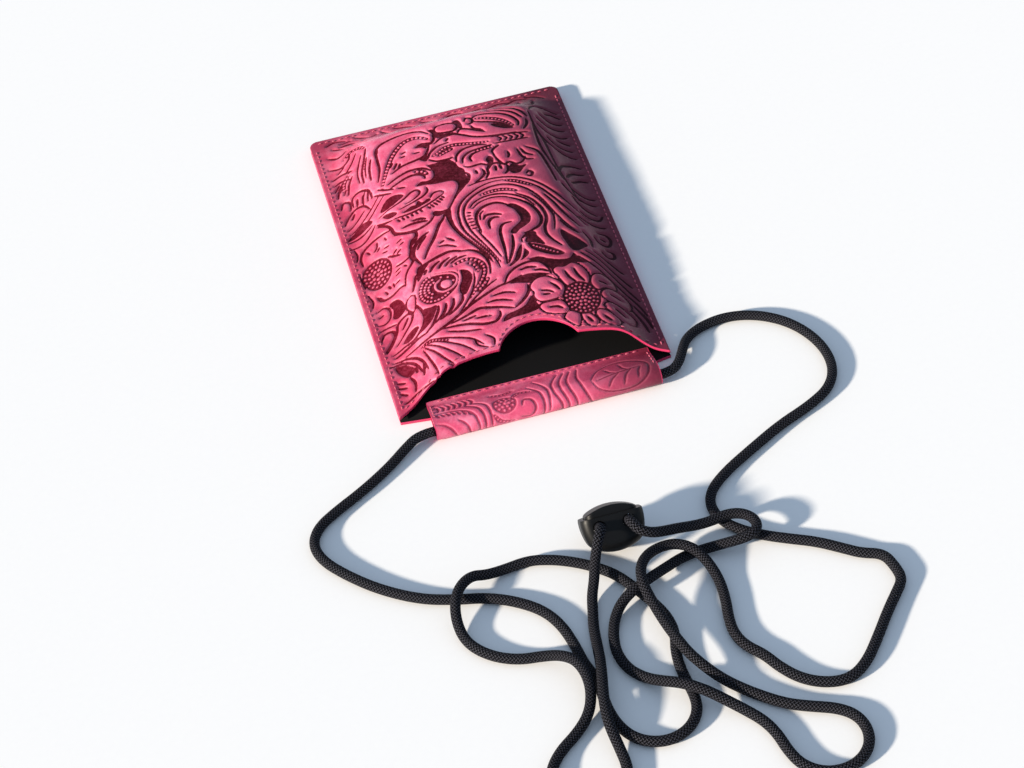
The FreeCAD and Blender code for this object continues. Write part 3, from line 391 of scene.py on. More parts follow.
def eased(distance, reach):
    """From 0 to 1 over this reach, as a quarter of a sine wave rises."""
    return np.sin(np.clip(distance / reach, 0, 1) * np.pi / 2)


place = spots_of(front_leather) / MM
domed = np.clip(1 - ((place[:, 0] - DOME_MIDDLE) / DOME_HALF) ** 2, 0, 1)
domed *= eased(place[:, 1] - DOME_START, DOME_RISE) * eased(DOME_END - place[:, 1], DOME_FALL)
place[:, 2] += DOME_HEIGHT * domed
put_spots(front_leather, place * MM)
print("front leather now", round(place[:, 2].max(), 2), "mm high")

# %% [markdown]
# ## Edges and the back panel
# A sheet of leather shows its thickness along every cut edge. The open edge is extruded down in small
# steps, which rounds it as a burnishing tool does, and turned in underneath. A Solidify modifier would be
# quicker, but its edge is square. The back panel is a flat sheet that lies face down, so its faces are
# turned over.

# %% Turn down the cut edge
def turn_edge(sheet, steps):
    """Extrude a sheet's open edge. A step says how many millimetres down, and a share to scale by."""
    only(sheet)
    bpy.ops.object.mode_set(mode="EDIT")
    bpy.ops.mesh.select_mode(type="EDGE")
    bpy.ops.mesh.select_all(action="DESELECT")
    bpy.ops.mesh.select_non_manifold()
    for down, share in steps:
        bpy.ops.mesh.extrude_region_move(TRANSFORM_OT_translate={"value": (0, 0, -down * MM)})
        bpy.ops.transform.resize(value=(share, share, 1), center_override=(0, 0, 0))
    bpy.ops.object.mode_set(mode="OBJECT")
    bpy.ops.object.shade_smooth()
    print(sheet.name, len(sheet.data.polygons), "faces with its edge")


# %% The back panel, face down
back_leather = cut_sheet("back_leather", 224, 372, back_edge, inset=0.1, height=0.0)
only(back_leather)
bpy.ops.object.mode_set(mode="EDIT")
bpy.ops.mesh.select_all(action="SELECT")
bpy.ops.mesh.flip_normals()
bpy.ops.object.mode_set(mode="OBJECT")
back_place = spots_of(back_leather)

# %% [markdown]
# ## Strip and linings
# The back panel has a strip at the mouth that is folded up and over the cord and sewn down, which makes
# the tunnel. Its fold is drawn once from the side, and a grid is laid along that line, so that each spot
# keeps its distance along the leather and the pattern doesn't stretch. Black cloth lines the pocket: a
# flat sheet on the back panel and one that is dropped on the solid lining in front.

# %% The strip that is folded into the cord's tunnel
LEATHER = 1.3
CORD_LINE, FOLD_RADIUS = -96.45, 3.7
FOLD_STEPS = 25
CREST, SEWN_FROM, STRIP_END = -93.65, -80.85, -78.25

bend = np.linspace(-np.pi / 2, -3 * np.pi / 2, FOLD_STEPS)[1:-1]
fold_line = [(STRIP_START, 0.0), (CORD_LINE, 0.0)]
fold_line += [(CORD_LINE + FOLD_RADIUS * math.cos(a), FOLD_RADIUS * (1 + math.sin(a))) for a in bend]
fold_line += [(CORD_LINE, 2 * FOLD_RADIUS), (CREST, 2 * FOLD_RADIUS)]
fold_line += [(SEWN_FROM, 2 * LEATHER), (STRIP_END, 2 * LEATHER)]
fold_line = np.array(fold_line)
fold_run = run_along(fold_line)
FOLD_LENGTH = fold_run[-1]

tunnel_strip = new_grid("tunnel_strip", 178, 84)
strip_share = spots_of(tunnel_strip)
strip_x = (STRIP_LEFT + STRIP_RIGHT) / 2 + strip_share[:, 0] * (STRIP_RIGHT - STRIP_LEFT) / 2
strip_run = (strip_share[:, 1] + 1) / 2 * FOLD_LENGTH
strip_y = np.interp(strip_run, fold_run, fold_line[:, 0])
strip_z = np.interp(strip_run, fold_run, fold_line[:, 1])
put_spots(tunnel_strip, np.stack([strip_x, strip_y, strip_z], axis=1) * MM)
apply_modifier(tunnel_strip, "SMOOTH", factor=0.5, iterations=12, use_x=False)
print("tunnel strip:", round(FOLD_LENGTH, 1), "mm of leather around the cord")

# %% The linings
SETBACK = 0.9
back_lining = cut_sheet("back_lining_cloth", 60, 100, lambda x: np.full_like(x, STRIP_END), inset=0.3,
                        height=1.7)
apply_modifier(back_lining, "SOLIDIFY", thickness=0.4 * MM, offset=-1)
front_lining = cut_sheet("front_lining_cloth", 112, 180, lambda x: mouth_edge(x) + SETBACK, inset=0.6,
                         height=DROP_HEIGHT)
lay_on(front_lining, "front_lining", relax=8)
apply_modifier(front_lining, "SOLIDIFY", thickness=0.35 * MM, offset=-1)
for lining in (back_lining, front_lining):
    only(lining)
    bpy.ops.object.shade_smooth_by_angle(angle=math.radians(40))

# %% [markdown]
# ## Tooling
# Leather like this is damped and pressed under an engraved plate: lines are cut, the ground around the
# leaves is pushed down, and rows of beads are left standing in it. The same few tools are made here. They
# don't move the sheet at once. They keep how far each spot stands inside raised leather, so that tools
# can cross each other, and the sheet is pressed once at the end. An image as a height map would be less
# work for a real stamp, but lines stay sharp at any size and can be moved one by one. All are drawn in
# millimetres on the panel.

# %% A smooth line through a few points
LINE_STEPS = 6


def rounded(points, closed=False):
    """A smooth line through points. A point given twice makes a sharp tip."""
    spots = np.array(points, dtype=float)
    ends = (spots[-1:], spots[:2]) if closed else (spots[:1], spots[-1:])
    spots = np.vstack([ends[0], spots, ends[1]])
    before, start, end, after = spots[:-3], spots[1:-2], spots[2:-1], spots[3:]
    step = np.arange(LINE_STEPS)[:, None, None] / LINE_STEPS
    bending = before - 2.5 * start + 2 * end - after / 2
    twisting = 1.5 * (start - end) + (after - before) / 2
    line = start + step * ((end - before) / 2 + step * (bending + step * twisting))
    return np.vstack([line.transpose(1, 0, 2).reshape(-1, 2), spots[-2:-1]])


print("a line through three points has", len(rounded([(0, 0), (1, 1), (2, 0)])), "points")


# %% The tools
UNTOUCHED = 2.0
FELT = 2.5
OUT_OF_REACH = 9.0
TIP_SHARE = 0.3
GROOVE, GROOVE_DEPTH = 0.8, 0.3
TROUGH_MARGIN = 1.0
BEAD_FELT = 1.5
SEED_PITCH, SEED_RADIUS, SEED_TAPER = 2.1, 0.85, 0.3


class Tooling:
    """A pattern on a sheet. Its field says how far inside raised leather each spot is, in millimetres."""

    def __init__(self, x, y):
        self.x, self.y = x, y
        self.field = np.full_like(x, UNTOUCHED)

    def around(self, line, margin=FELT):
        """The spots in the box around a line."""
        low, high = line.min(axis=0) - margin, line.max(axis=0) + margin
        return np.flatnonzero((self.x > low[0]) & (self.x < high[0]) & (self.y > low[1]) & (self.y < high[1]))

    def gap(self, spots, line, half):
        """How far spots are from a line that is this wide to each side along its run."""
        x, y = self.x[spots], self.y[spots]
        nearest = np.full(len(spots), OUT_OF_REACH)
        for (ax, ay), (bx, by), a, b in zip(line[:-1], line[1:], half[:-1], half[1:]):
            run = max((bx - ax) ** 2 + (by - ay) ** 2, 1e-9)
            share = np.clip(((x - ax) * (bx - ax) + (y - ay) * (by - ay)) / run, 0, 1)
            away = np.hypot(x - ax - share * (bx - ax), y - ay - share * (by - ay))
            nearest = np.minimum(nearest, away - a - (b - a) * share)
        return nearest

    def depth(self, spots, outline):
        """How far spots are inside a closed outline."""
        x, y = self.x[spots], self.y[spots]
        inside = np.zeros(len(spots), dtype=bool)
        for (ax, ay), (bx, by) in zip(outline[:-1], outline[1:]):
            if ay != by:
                inside ^= ((ay > y) != (by > y)) & (x < (bx - ax) * (y - ay) / (by - ay) + ax)
        away = self.gap(spots, outline, np.zeros(len(outline)))
        return np.where(inside, away, -away)

    def cut(self, width, *lines):
        """Cut lines that are widest in the middle and run out at both ends."""
        for points in lines:
            line = rounded(points)
            swell = np.sin(np.pi * np.linspace(0, 1, len(line))) ** 0.5
            half = width / 2 * (TIP_SHARE + (1 - TIP_SHARE) * swell)
            spots = self.around(line)
            self.field[spots] = np.minimum(self.field[spots], self.gap(spots, line, half))

    def rib(self, width, *lines):
        """Leave lines standing in the ground."""
        for points in lines:
            line = rounded(points)
            spots = self.around(line)
            standing = -self.gap(spots, line, np.full(len(line), width / 2))
            self.field[spots] = np.maximum(self.field[spots], standing)

    def press(self, *outlines):
        """Push the ground down inside outlines."""
        for points in outlines:
            outline = rounded(points, closed=True)
            spots = self.around(outline)
            self.field[spots] = np.minimum(self.field[spots], -self.depth(spots, outline))

    def lift(self, *outlines):
        """Leave the leather standing inside outlines, with a groove around each."""
        for points in outlines:
            outline = rounded(points, closed=True)
            spots = self.around(outline)
            depth = self.depth(spots, outline)
            before = self.field[spots]
            shaped = np.maximum(np.minimum(before, -GROOVE_DEPTH), depth)
            self.field[spots] = np.where(depth > -GROOVE, shaped, before)

    def bead(self, radius, pitch, *lines):
        """Press a trough along lines and leave beads standing in it."""
        for points in lines:
            self.cut(2 * radius + TROUGH_MARGIN, points)
            self.row(radius, pitch, points)

    def row(self, radius, pitch, points):
        """Leave beads standing along a line."""
        line = rounded(points)
        run = run_along(line)
        places = np.arange(0.5 * pitch, run[-1], pitch)
        for x, y in zip(np.interp(places, run, line[:, 0]), np.interp(places, run, line[:, 1])):
            self.dot(x, y, radius)

    def dot(self, x, y, radius):
        """Leave one bead standing."""
        spots = self.around(np.array([(x, y)]), radius + BEAD_FELT)
        standing = radius - np.hypot(self.x[spots] - x, self.y[spots] - y)
        self.field[spots] = np.maximum(self.field[spots], standing)

    def seeds(self, x, y, across, along, rings):
        """A flower's middle: a pressed disc with rings of beads that grow toward the centre."""
        turn = np.linspace(0, 2 * np.pi, 16, endpoint=False)
        self.press([(x + across * math.cos(a), y + along * math.sin(a)) for a in turn])
        for ring in range(rings):
            share = (ring + 0.2) / rings
            around = 2 * math.pi * share * (across + along) / 2
            count = max(1, round(around / SEED_PITCH))
            for a in np.arange(count) * 2 * np.pi / count + ring:
                self.dot(x + across * share * math.cos(a), y + along * share * math.sin(a),
                         SEED_RADIUS - SEED_TAPER * share)

    def tell(self, name):
        """Say how much of the sheet is ground by now."""
        print(name + ":", int((self.field < 0).sum()), "of", len(self.field), "spots are ground by now")


front_place = spots_of(front_leather)
plate_x = np.concatenate([front_place[:, 0], -back_place[:, 0]]) / MM
plate_y = np.concatenate([front_place[:, 1], back_place[:, 1]]) / MM
front = Tooling(plate_x, plate_y)
front.tell("plain leather")

# %% [markdown]
# ## Flowers, scrolls and leaves
# The pattern is the kind that saddlers press into leather: a scroll, flowers with beaded middles, and
# leaves that fill what is left. One motif is one cell, so that it can be drawn again without touching its
# neighbours. The back panel gets the same plate, turned over so that it reads the same way round from
# behind.

# %% The big scroll in the middle
front.press(
    [(-11.8, 49), (-7, 48.8), (-3, 49), (-0.6, 46), (0.2, 42.5), (2, 40), (1.6, 36.5), (2.2, 33.5),
     (0.6, 29.8), (-1.6, 27.2), (-4.2, 24.6), (-6.2, 21.8), (-8.2, 18.6), (-9.7, 16), (-9.9, 17.6),
     (-8, 20.4), (-6, 23.8), (-3.6, 28), (-2.7, 31), (-3.2, 33.4), (-5, 34.8), (-9, 35.2), (-13, 36),
     (-15.4, 37), (-19, 37.6), (-17, 39.6), (-13.4, 39), (-11.2, 40.5), (-10.7, 44), (-11.2, 47)],
    [(-11.4, 17), (-9.2, 16.4), (-9.9, 11), (-9.6, 5), (-8.2, -0.5), (-5.9, -6), (-3.2, -12), (-1, -18),
     (-0.4, -23), (-2.4, -17.5), (-4.9, -11.5), (-7.7, -5.5), (-9.9, 0), (-11.5, 6), (-12, 12)],
    [(13, 10.3), (15.5, 10.9), (18, 8.6), (20, 5.2), (20.8, 1), (19.8, -2.6), (17.4, -4.8), (14.6, -6.5),
     (12.4, -8.6), (10.5, -7.6), (11.6, -5.4), (14, -3.4), (16, -1.4), (16.6, 1.2), (16, 4.6), (15.2, 7.2)],
    [(20, -9.6), (16, -10.2), (13.6, -12.6), (13.4, -15), (15.6, -15.6), (18.6, -16.8), (22, -18.6),
     (21.2, -15), (20.2, -12)],
    [(15.4, -16), (17.4, -16.8), (20.4, -18.4), (23.6, -20.8), (26.6, -23.6), (28.2, -26.1), (25.4, -26.5),
     (21.6, -24.8), (18.2, -22.2), (16, -19.4)],
    [(13, -16), (10, -20), (8.2, -24), (5, -27.6), (9, -26.4), (12.6, -24.4), (14.6, -22), (13.6, -19)],
    [(13.5, -26), (17.6, -25.6), (21.4, -27.8), (25.4, -29.4), (29.4, -29.4), (31.6, -27), (33, -30),
     (35, -33.4), (30, -32.4), (26, -33), (22, -33.2), (20.4, -33.6), (19.2, -30.4), (16.6, -28)],
    [(30.6, -11), (33, -14), (36, -17.6), (38.6, -21.6), (36.6, -24), (33.6, -25.6), (31.4, -24),
     (30.4, -19), (29.8, -14)],
)
front.tell("scroll")

# %% The scroll's long lines
front.cut(
    1.0,
    [(1.5, 28.2), (4, 29), (10, 29.8), (16.5, 29.3), (22, 27.6), (27, 24.4), (31, 19.8), (34.5, 14),
     (37.5, 8.5), (40.5, 3.5), (44, -1)],
    [(1.6, -27), (1, -22), (-0.4, -17), (-2.4, -11.5), (-4.6, -6), (-6.4, -1), (-7.3, 4), (-7.2, 9),
     (-6.6, 13.4), (-5, 17.5), (-2, 21), (2, 24), (6, 26.2), (11, 27.6), (16, 27.6)],
    [(24, 24), (27, 21.2), (29.8, 17.4), (33, 11), (36, 4.5), (39, -1), (42, -6)],
    [(2.6, -24), (0.8, -17.5), (-0.8, -12), (-2.6, -6.5), (-4.2, -1), (-4.9, 4), (-5, 9), (-4.2, 13.5),
     (-2.2, 17.4), (1, 20.6), (5, 23), (10, 24.6), (15, 24.6), (19.5, 22.8), (23.6, 19.2), (26.6, 14.4),
     (28.8, 8.5), (30.4, 2.5), (32.4, -4), (35, -10), (37.5, -14)],
    [(-1.6, 14), (1, 16.8), (4.5, 18.6), (9, 19.2), (14, 18.2), (18.4, 15.8), (22, 12), (24.4, 7)],
    [(29.6, 14), (32, 8), (33.8, 2), (36, -3.6), (39, -9)],
)
front.cut(
    0.8, [(-0.6, 13), (2.4, 15.6), (5.4, 16.9), (9, 17.3), (13.4, 16.4), (17, 14.2)],
    [(3.6, -21), (1.6, -13), (-0.4, -6.5), (-1.8, -1)], [(3.4, 10.2), (1.6, 8.4), (0.8, 4.6)],
    [(24.6, 15.4), (27.2, 10), (29, 4), (29.9, -1), (29.2, -6), (28, -10.4)],
    [(31.6, -4.6), (33.6, -9.6), (36.8, -14)],
)
front.cut(
    1.4, [(-0.5, -3), (-0.9, 4), (0.3, 9.2), (3.4, 12.4), (7.6, 13.6), (11, 12.8), (13.8, 10.4)],
    [(12.6, -0.6), (9.4, -0.9), (7.7, -2.6), (6.7, -5.4), (6.2, -9.6), (6, -14), (5.6, -19), (4.6, -26)],
    [(2.1, 4.6), (3.4, 6.6), (5.6, 6.9), (8, 6.2), (9.8, 5.2)],
    [(3.3, -2.2), (3.5, 1.4), (4.8, 3.6), (6.6, 4.4), (8.6, 3.8)],
    [(15.5, 15.2), (19.5, 12), (22.6, 8), (24.4, 3), (24.7, -2), (23, -6), (19.4, -8.4), (15.6, -9.6)],
    [(19, 17), (23.4, 12.6), (26, 7), (27, 1.5), (26.6, -3), (24.8, -7.5), (24.3, -12), (25.6, -16.2),
     (28.4, -21)],
    [(10.8, -9), (10.2, -13), (9.2, -17), (7.6, -21), (5.4, -25.6)],
)
front.tell("with its lines")

# %% The scroll's notches, beads and ribs
front.cut(
    0.9, [(-3.8, 9.4), (-2.2, 9)], [(-4, 7.2), (-2, 7)], [(-4, 5), (-1.9, 4.8)], [(-3.8, 2.8), (-1.7, 2.6)],
    [(-3.4, 0.6), (-1.5, 0.4)], [(-3.2, 11.6), (-1.8, 10.8)],
)
front.bead(
    0.55, 1.5, [(16.6, 27), (20, 25.6), (23.4, 23.4), (26.4, 20.8)],
    [(4.6, 20.4), (8.4, 21.3), (12.6, 21.4), (16.4, 20.6), (19.6, 18.8)],
    [(16.8, -17.8), (20, -20.6), (23.4, -23.2), (26.4, -25.2)],
)
front.rib(
    0.9, [(15.4, -12.4), (13.6, -16), (12.6, -20), (10.4, -24.8), (6, -28.2), (2, -31)],
    [(14.4, -13), (14.6, -17), (16, -20.4), (18.6, -23.6), (22, -26), (25.6, -27.6), (29, -27.4),
     (30, -23)],
)
front.tell("with its beads")

# %% The veined leaf above on the left
front.press(
    [(-36.6, 32), (-34.6, 35), (-31.6, 36.9), (-28, 36.9), (-25.4, 35), (-28, 33), (-31, 31.4),
     (-34.4, 30.8)],
    [(-28, 24), (-24, 26.2), (-22, 26.2), (-20.6, 28.2), (-19, 26.4), (-16.4, 27.6), (-15.6, 26.2),
     (-19, 24.8), (-23, 23.8)],
    [(-36.4, 28.6), (-33, 27.8), (-30.4, 25.8), (-31.6, 24.4), (-34.4, 25)],
    [(-16.8, 16.6), (-15.6, 18.4), (-12.8, 17.2), (-10, 17.4), (-12, 15.4), (-14.6, 14.6)],
    [(-52.4, 27.6), (-48, 28.4), (-44, 29.4), (-40.6, 31), (-44, 34), (-49, 31.2)],
)
front.cut(
    1.4,
    [(-39.4, 25.4), (-36, 21.6), (-34.6, 18), (-33.9, 14.4), (-30.6, 11.6), (-25, 10.6), (-19.4, 12.4),
     (-16.4, 15.6)],
    [(-30.2, 14.8), (-26.4, 15.3), (-22.6, 14.8), (-19.6, 13.9)], [(-25.4, 17), (-22.4, 16.8), (-20, 15.6)],
    [(-11.8, 15.6), (-13.4, 12), (-15.6, 9.4), (-17.4, 6), (-19.6, 1.8), (-22.8, -3), (-25.8, -8.6)],
)
front.cut(
    1.0,
    [(-38, 29.6), (-31, 30.4), (-26, 32.4), (-22.4, 35), (-19.6, 35.4), (-18.8, 33), (-21.4, 30.6),
     (-25.6, 29)],
    [(-15.4, 35.2), (-15.6, 32.4), (-18.4, 30), (-23, 28.4), (-28.6, 27)],
    [(-15.4, 27.6), (-13.6, 30), (-10.6, 30.2), (-9.2, 28.6)],
    [(-32.6, 22.8), (-27, 22.1), (-21, 22.8), (-15, 25), (-9.2, 28.2)],
    [(-39.6, 27), (-36.6, 24.2), (-33, 22.6)], [(-53, 22), (-47, 22.2), (-43, 24.6), (-40, 28)],
    [(-52, 26.4), (-46, 27), (-41, 29)],
)
front.cut(
    0.9, [(-17.6, 22.8), (-16.6, 20.8)], [(-16.2, 23.4), (-15, 21)], [(-14.8, 24), (-13.4, 21.6)],
    [(-13.4, 24.8), (-12, 22.6)], [(-12, 25.6), (-10.8, 23.6)], [(-10.8, 26.6), (-9.8, 24.8)],
    [(-31, 21.4), (-30.2, 19.4)], [(-29, 21.2), (-28.2, 19.4)], [(-27, 21.2), (-26.4, 19.6)],
    [(-25, 21.4), (-24.4, 19.8)], [(-23, 21.8), (-22.2, 20.2)], [(-21, 22.2), (-20.2, 20.6)],
)
front.tell("veined leaf")

# %% The three-cornered leaf and the pointed one beside it
front.cut(
    1.6, [(-28.6, -12.4), (-24, -11), (-20, -9.9), (-15.6, -9.2), (-11, -10.8)],
    [(-27.8, -11.2), (-29.6, -5), (-28.2, 0.4), (-24.6, 4.6), (-20.8, 7)],
)
front.cut(
    1.1, [(-18.8, -4.2), (-15.6, -4.9), (-12, -7.6)], [(-14.6, -0.4), (-12, -3.8)],
    [(-18, -2.4), (-16, -1.4)], [(-27.4, -1.6), (-25.4, 1.6), (-22.2, 5)],
    [(-26, 5.6), (-27.8, 3.4), (-29.8, 2.6)],
)
front.press(
    [(-26, 10.4), (-25, 9.6), (-25.4, 6.4), (-28, 3.6), (-29.6, 2.8), (-28.8, 5.4), (-26.6, 7.4)],
    [(-30.4, -14), (-28.4, -11.6), (-25, -11.8), (-27, -14.6), (-29.6, -18.6), (-31.4, -20)],
)
front.tell("three-cornered leaf")

# %% The flower at the left edge
front.cut(
    1.2,
    [(-34.6, 13.4), (-29.8, 10.8), (-26, 9.4), (-26.4, 6), (-29.2, 2.8), (-29.9, -0.4), (-31, -3.8),
     (-30.6, -7.2), (-33.8, -10.8), (-35.4, -13.6), (-36.4, -18)],
    [(-49.4, 9), (-49.6, 13.6), (-48, 17.4), (-44.6, 19.4), (-39.6, 19.6), (-35.4, 18)],
    [(-48, -12.4), (-46.6, -15.8), (-42.6, -17.2), (-38.6, -16.4), (-36, -17.6)],
)
front.cut(
    1.0, [(-37.6, -3.8), (-34.4, -4.6), (-31, -3.7)], [(-39.4, 5.4), (-37, 2.6), (-34.2, 0.4)],
    [(-43.6, 13.4), (-42.2, 15), (-41.6, 17.6)], [(-42.4, 12.4), (-41.2, 14)], [(-36.8, 4), (-35.2, 5.2)],
    [(-35.4, 2.6), (-33.6, 3.6)], [(-38.6, -8.4), (-36.4, -8)], [(-39.6, -12.4), (-37.8, -12.2)],
    [(-42.6, -10.4), (-41.8, -13)], [(-47.4, -13), (-45.4, -17.2)],
)
front.seeds(-45.2, 0, 6.4, 8.6, 4)
front.tell("left flower")

# %% The beaded spiral
front.press(
    [(-33, -29), (-31.8, -24.4), (-29, -20.6), (-25, -19.4), (-21, -20.2), (-17, -21.6), (-15.2, -24.6),
     (-15.4, -28.4), (-17.4, -31.6), (-20.6, -34), (-25, -36), (-29.4, -35.8), (-32, -33)],
    [(-15, -22), (-12, -22.8), (-10.4, -25.4), (-10.6, -29), (-12.6, -33), (-15, -36.4), (-16.9, -35.2),
     (-16.4, -31.4), (-14.8, -28.4), (-14.2, -25)],
)
spiral_rim = [(-14.6, -22.4), (-14.9, -26), (-16.6, -30.4), (-19.6, -33.4), (-24, -36), (-29, -36.4),
              (-32.6, -33.6), (-33.6, -28.6), (-32.2, -23.6), (-29, -19.6), (-25, -18.4)]
front.rib(
    1.1, spiral_rim,
    [(-26.6, -19.6), (-22, -20.6), (-18, -22.2), (-16.2, -25), (-17, -28.4), (-19.6, -30.6), (-23, -31.2),
     (-25.4, -29), (-25.2, -25.8), (-23, -24)],
)
front.lift(
    [(-23.4, -27.6), (-22.6, -25.4), (-20.6, -25), (-18.8, -26.2), (-18.8, -28.4), (-20.4, -29.6),
     (-22.4, -29.4)],
)
spiral_x, spiral_y = -25.6, -27.6
for share, first in ((0.8, 3), (0.58, 5), (0.37, 5)):
    front.row(0.62, 1.6, [(spiral_x + share * (x - spiral_x), spiral_y + share * (y - spiral_y))
                          for x, y in spiral_rim[first:]])
for x, y in [(-22.2, -22.6), (-19.6, -23.8), (-17.9, -26.6)]:
    front.dot(x, y, 0.62)
front.tell("spiral")

# %% Beads and leaves beside the spiral
front.bead(
    0.7, 1.9,
    [(-16.4, -18.6), (-13.6, -17.4), (-10, -17), (-6.8, -18.8), (-4.8, -22.4), (-5, -27), (-7.4, -31.6),
     (-10.6, -35.4), (-14.2, -39.4)],
    [(-10, -19.6), (-7.6, -22), (-7.2, -26)], [(-4.4, -31), (-7, -34), (-10.2, -37)],
)
front.cut(
    1.2, [(-12, -11), (-7.6, -12), (-4.4, -15), (-2.6, -19), (-2.2, -24), (-3, -29)],
    [(-25.6, -17.6), (-23.6, -14.8), (-20.6, -12.8)], [(-21.8, -17.2), (-19.6, -14.4), (-16.2, -12.6)],
    [(-19, -17.2), (-16.8, -14.8), (-13.2, -13.2)], [(-16.6, -16.6), (-13.6, -14.9), (-9.6, -14.4)],
    [(-28, -17.8), (-26.6, -15.4)],
)
front.cut(
    0.8, [(-20.6, -46.8), (-16, -41.4), (-12.4, -36.4), (-10, -30.6), (-9.2, -26)],
    [(-18, -45.6), (-12, -40), (-6, -35.6), (-1.4, -33)],
)
front.tell("with its beads")

# %% The stem across the bottom and its leaves
front.cut(
    1.3, [(-48.6, -51.1), (-44, -50.1), (-39, -49.3), (-34, -49.6)],
    [(-44.6, -53.4), (-39, -53.1), (-33.6, -52.7), (-30, -51.6), (-25, -49.3), (-19.6, -46.2), (-14, -42.8),
     (-7.6, -39.8), (-2, -37.4), (3, -36.4), (8.4, -34.2)],
    [(-34.6, -49.4), (-31.4, -47.4), (-29.2, -44), (-27.4, -40.6), (-26.8, -38)],
    [(-30.4, -47), (-26.6, -44), (-24.4, -40.8), (-23.6, -38)],
    [(-27.6, -46), (-23.6, -43.4), (-21, -40), (-20.2, -36.6)],
    [(-24, -45), (-19.6, -42), (-17, -39), (-16.4, -36)],
    [(-28, -51.4), (-22, -52), (-17, -53.2), (-12, -55.2), (-7.6, -55.4), (-5, -53), (-4.6, -50.6)],
    [(-24.4, -50), (-18, -48.4), (-12, -46.4), (-8, -47.4), (-3, -49), (1.4, -51)],
    [(9.4, -40.2), (8.8, -43.8), (6, -47.6), (1.8, -50.8)],
)
front.cut(
    1.0, [(-8.4, -44.6), (-3.6, -44.6), (1.8, -46.8)], [(-5.6, -41.8), (-0.4, -41.4), (3.8, -43)],
    [(-14.2, -51.2), (-10.6, -51.4), (-8, -51.9)], [(-26.4, -53.6), (-20, -56.2), (-13.6, -57.6)],
    [(-19.4, -50.6), (-14, -49.6)],
)
front.tell("stem")

# %% The ground beside the stem
front.press(
    [(-33.4, -36.8), (-30, -37.4), (-27.4, -37.6), (-28.8, -41), (-31, -44.6), (-34.6, -47), (-38.4, -47.2),
     (-35.4, -44.4), (-33.6, -40.6)],
    [(3, -37.3), (6, -35.4), (10, -34.3), (14, -34.6), (17.6, -35.8), (19.4, -37), (16, -37), (13, -38),
     (10.6, -39.4), (8.6, -38.9), (6, -38)],
    [(-44, -45.6), (-41, -43), (-38, -42.4), (-36.6, -44), (-39.4, -46.4), (-42, -47)],
    [(-49.6, -56), (-46.2, -57), (-43.6, -60.4), (-42.8, -63.4), (-46, -64.4), (-49, -60)],
    [(-44.4, -20.6), (-41, -21), (-39.2, -25), (-39.4, -29.4), (-42.6, -31), (-44.6, -29), (-43.6, -25)],
    [(-2.6, -53.6), (2, -52.4), (6, -50.6), (9.2, -46.8), (10.2, -50.6), (10.6, -54), (6, -55.4),
     (0, -55.8), (-4.6, -56.6)],
)
front.tell("with its ground")

# %% Curled leaves at the left of the stem
front.cut(
    1.2,
    [(-51, -46.6), (-47.6, -42.4), (-45, -38), (-43.6, -34), (-39.6, -32.6), (-37.4, -34.6), (-38.6, -38),
     (-42.4, -41.4), (-46.6, -45)],
    [(-51.6, -39), (-49.6, -35.4), (-46.6, -35.6), (-46, -38.6), (-48.6, -42.6), (-51.4, -46)],
    [(-49, -49), (-44, -48), (-39.6, -48), (-35.4, -45.2), (-33.4, -41), (-33.8, -36), (-35.4, -31.4),
     (-37.4, -27)],
    [(-42.6, -38.6), (-40.4, -36), (-39.4, -34.6)], [(-34.6, -24), (-32.8, -20), (-31.4, -16)],
)
front.cut(
    0.9, [(-50, -21.4), (-47, -20.4), (-45, -23), (-45.4, -27.4), (-48, -29.6), (-51, -29)],
    [(-51, -33), (-47.6, -32.4), (-44, -33.4)], [(-49.6, -25), (-47.6, -24)],
)
front.lift([(-38.4, -30), (-37.6, -26.4), (-35.4, -25.6), (-34.6, -27.4), (-35.4, -31.4), (-36.6, -34)])
front.tell("with curled leaves")

# %% Leaves below the stem
front.cut(
    1.1, [(-52, -55), (-47, -55.4), (-43.4, -58.4), (-41.4, -62.4), (-40.4, -67)],
    [(-49.8, -53.4), (-44.8, -54.6), (-41, -58), (-39, -62.4), (-38, -68)], [(-42.6, -62), (-42.2, -65.4)],
    [(-39, -63), (-40.2, -69.4)], [(-51, -65), (-47.6, -66.6)], [(-51, -68), (-47.4, -69.6)],
    [(-51, -71), (-48, -73.6)], [(-45.4, -65), (-44.2, -69.6), (-45, -74)],
    [(-50, -77.6), (-44, -75.4), (-37, -76)],
)
front.cut(
    0.9, [(-37.2, -56), (-33.6, -62), (-31, -67.6), (-28, -73)],
    [(-36, -55.6), (-31, -60.6), (-26.6, -66), (-23.6, -71)],
    [(-35, -55.2), (-28.6, -58.8), (-22.4, -63.6), (-18.6, -69)],
    [(-34, -54.8), (-26, -57.4), (-18.6, -61), (-14.6, -66)],
    [(-37.8, -57), (-36.4, -64), (-35.4, -70), (-35, -75)], [(-17.6, -61.6), (-17, -65.6), (-13.4, -68.4)],
    [(-13, -61), (-10.4, -64), (-11, -68)], [(-30, -72), (-27, -75), (-22, -74.6)],
)
front.bead(0.45, 1.4, [(-38, -55), (-34, -55), (-30.4, -57), (-27.4, -58.2)])
front.tell("with leaves below")

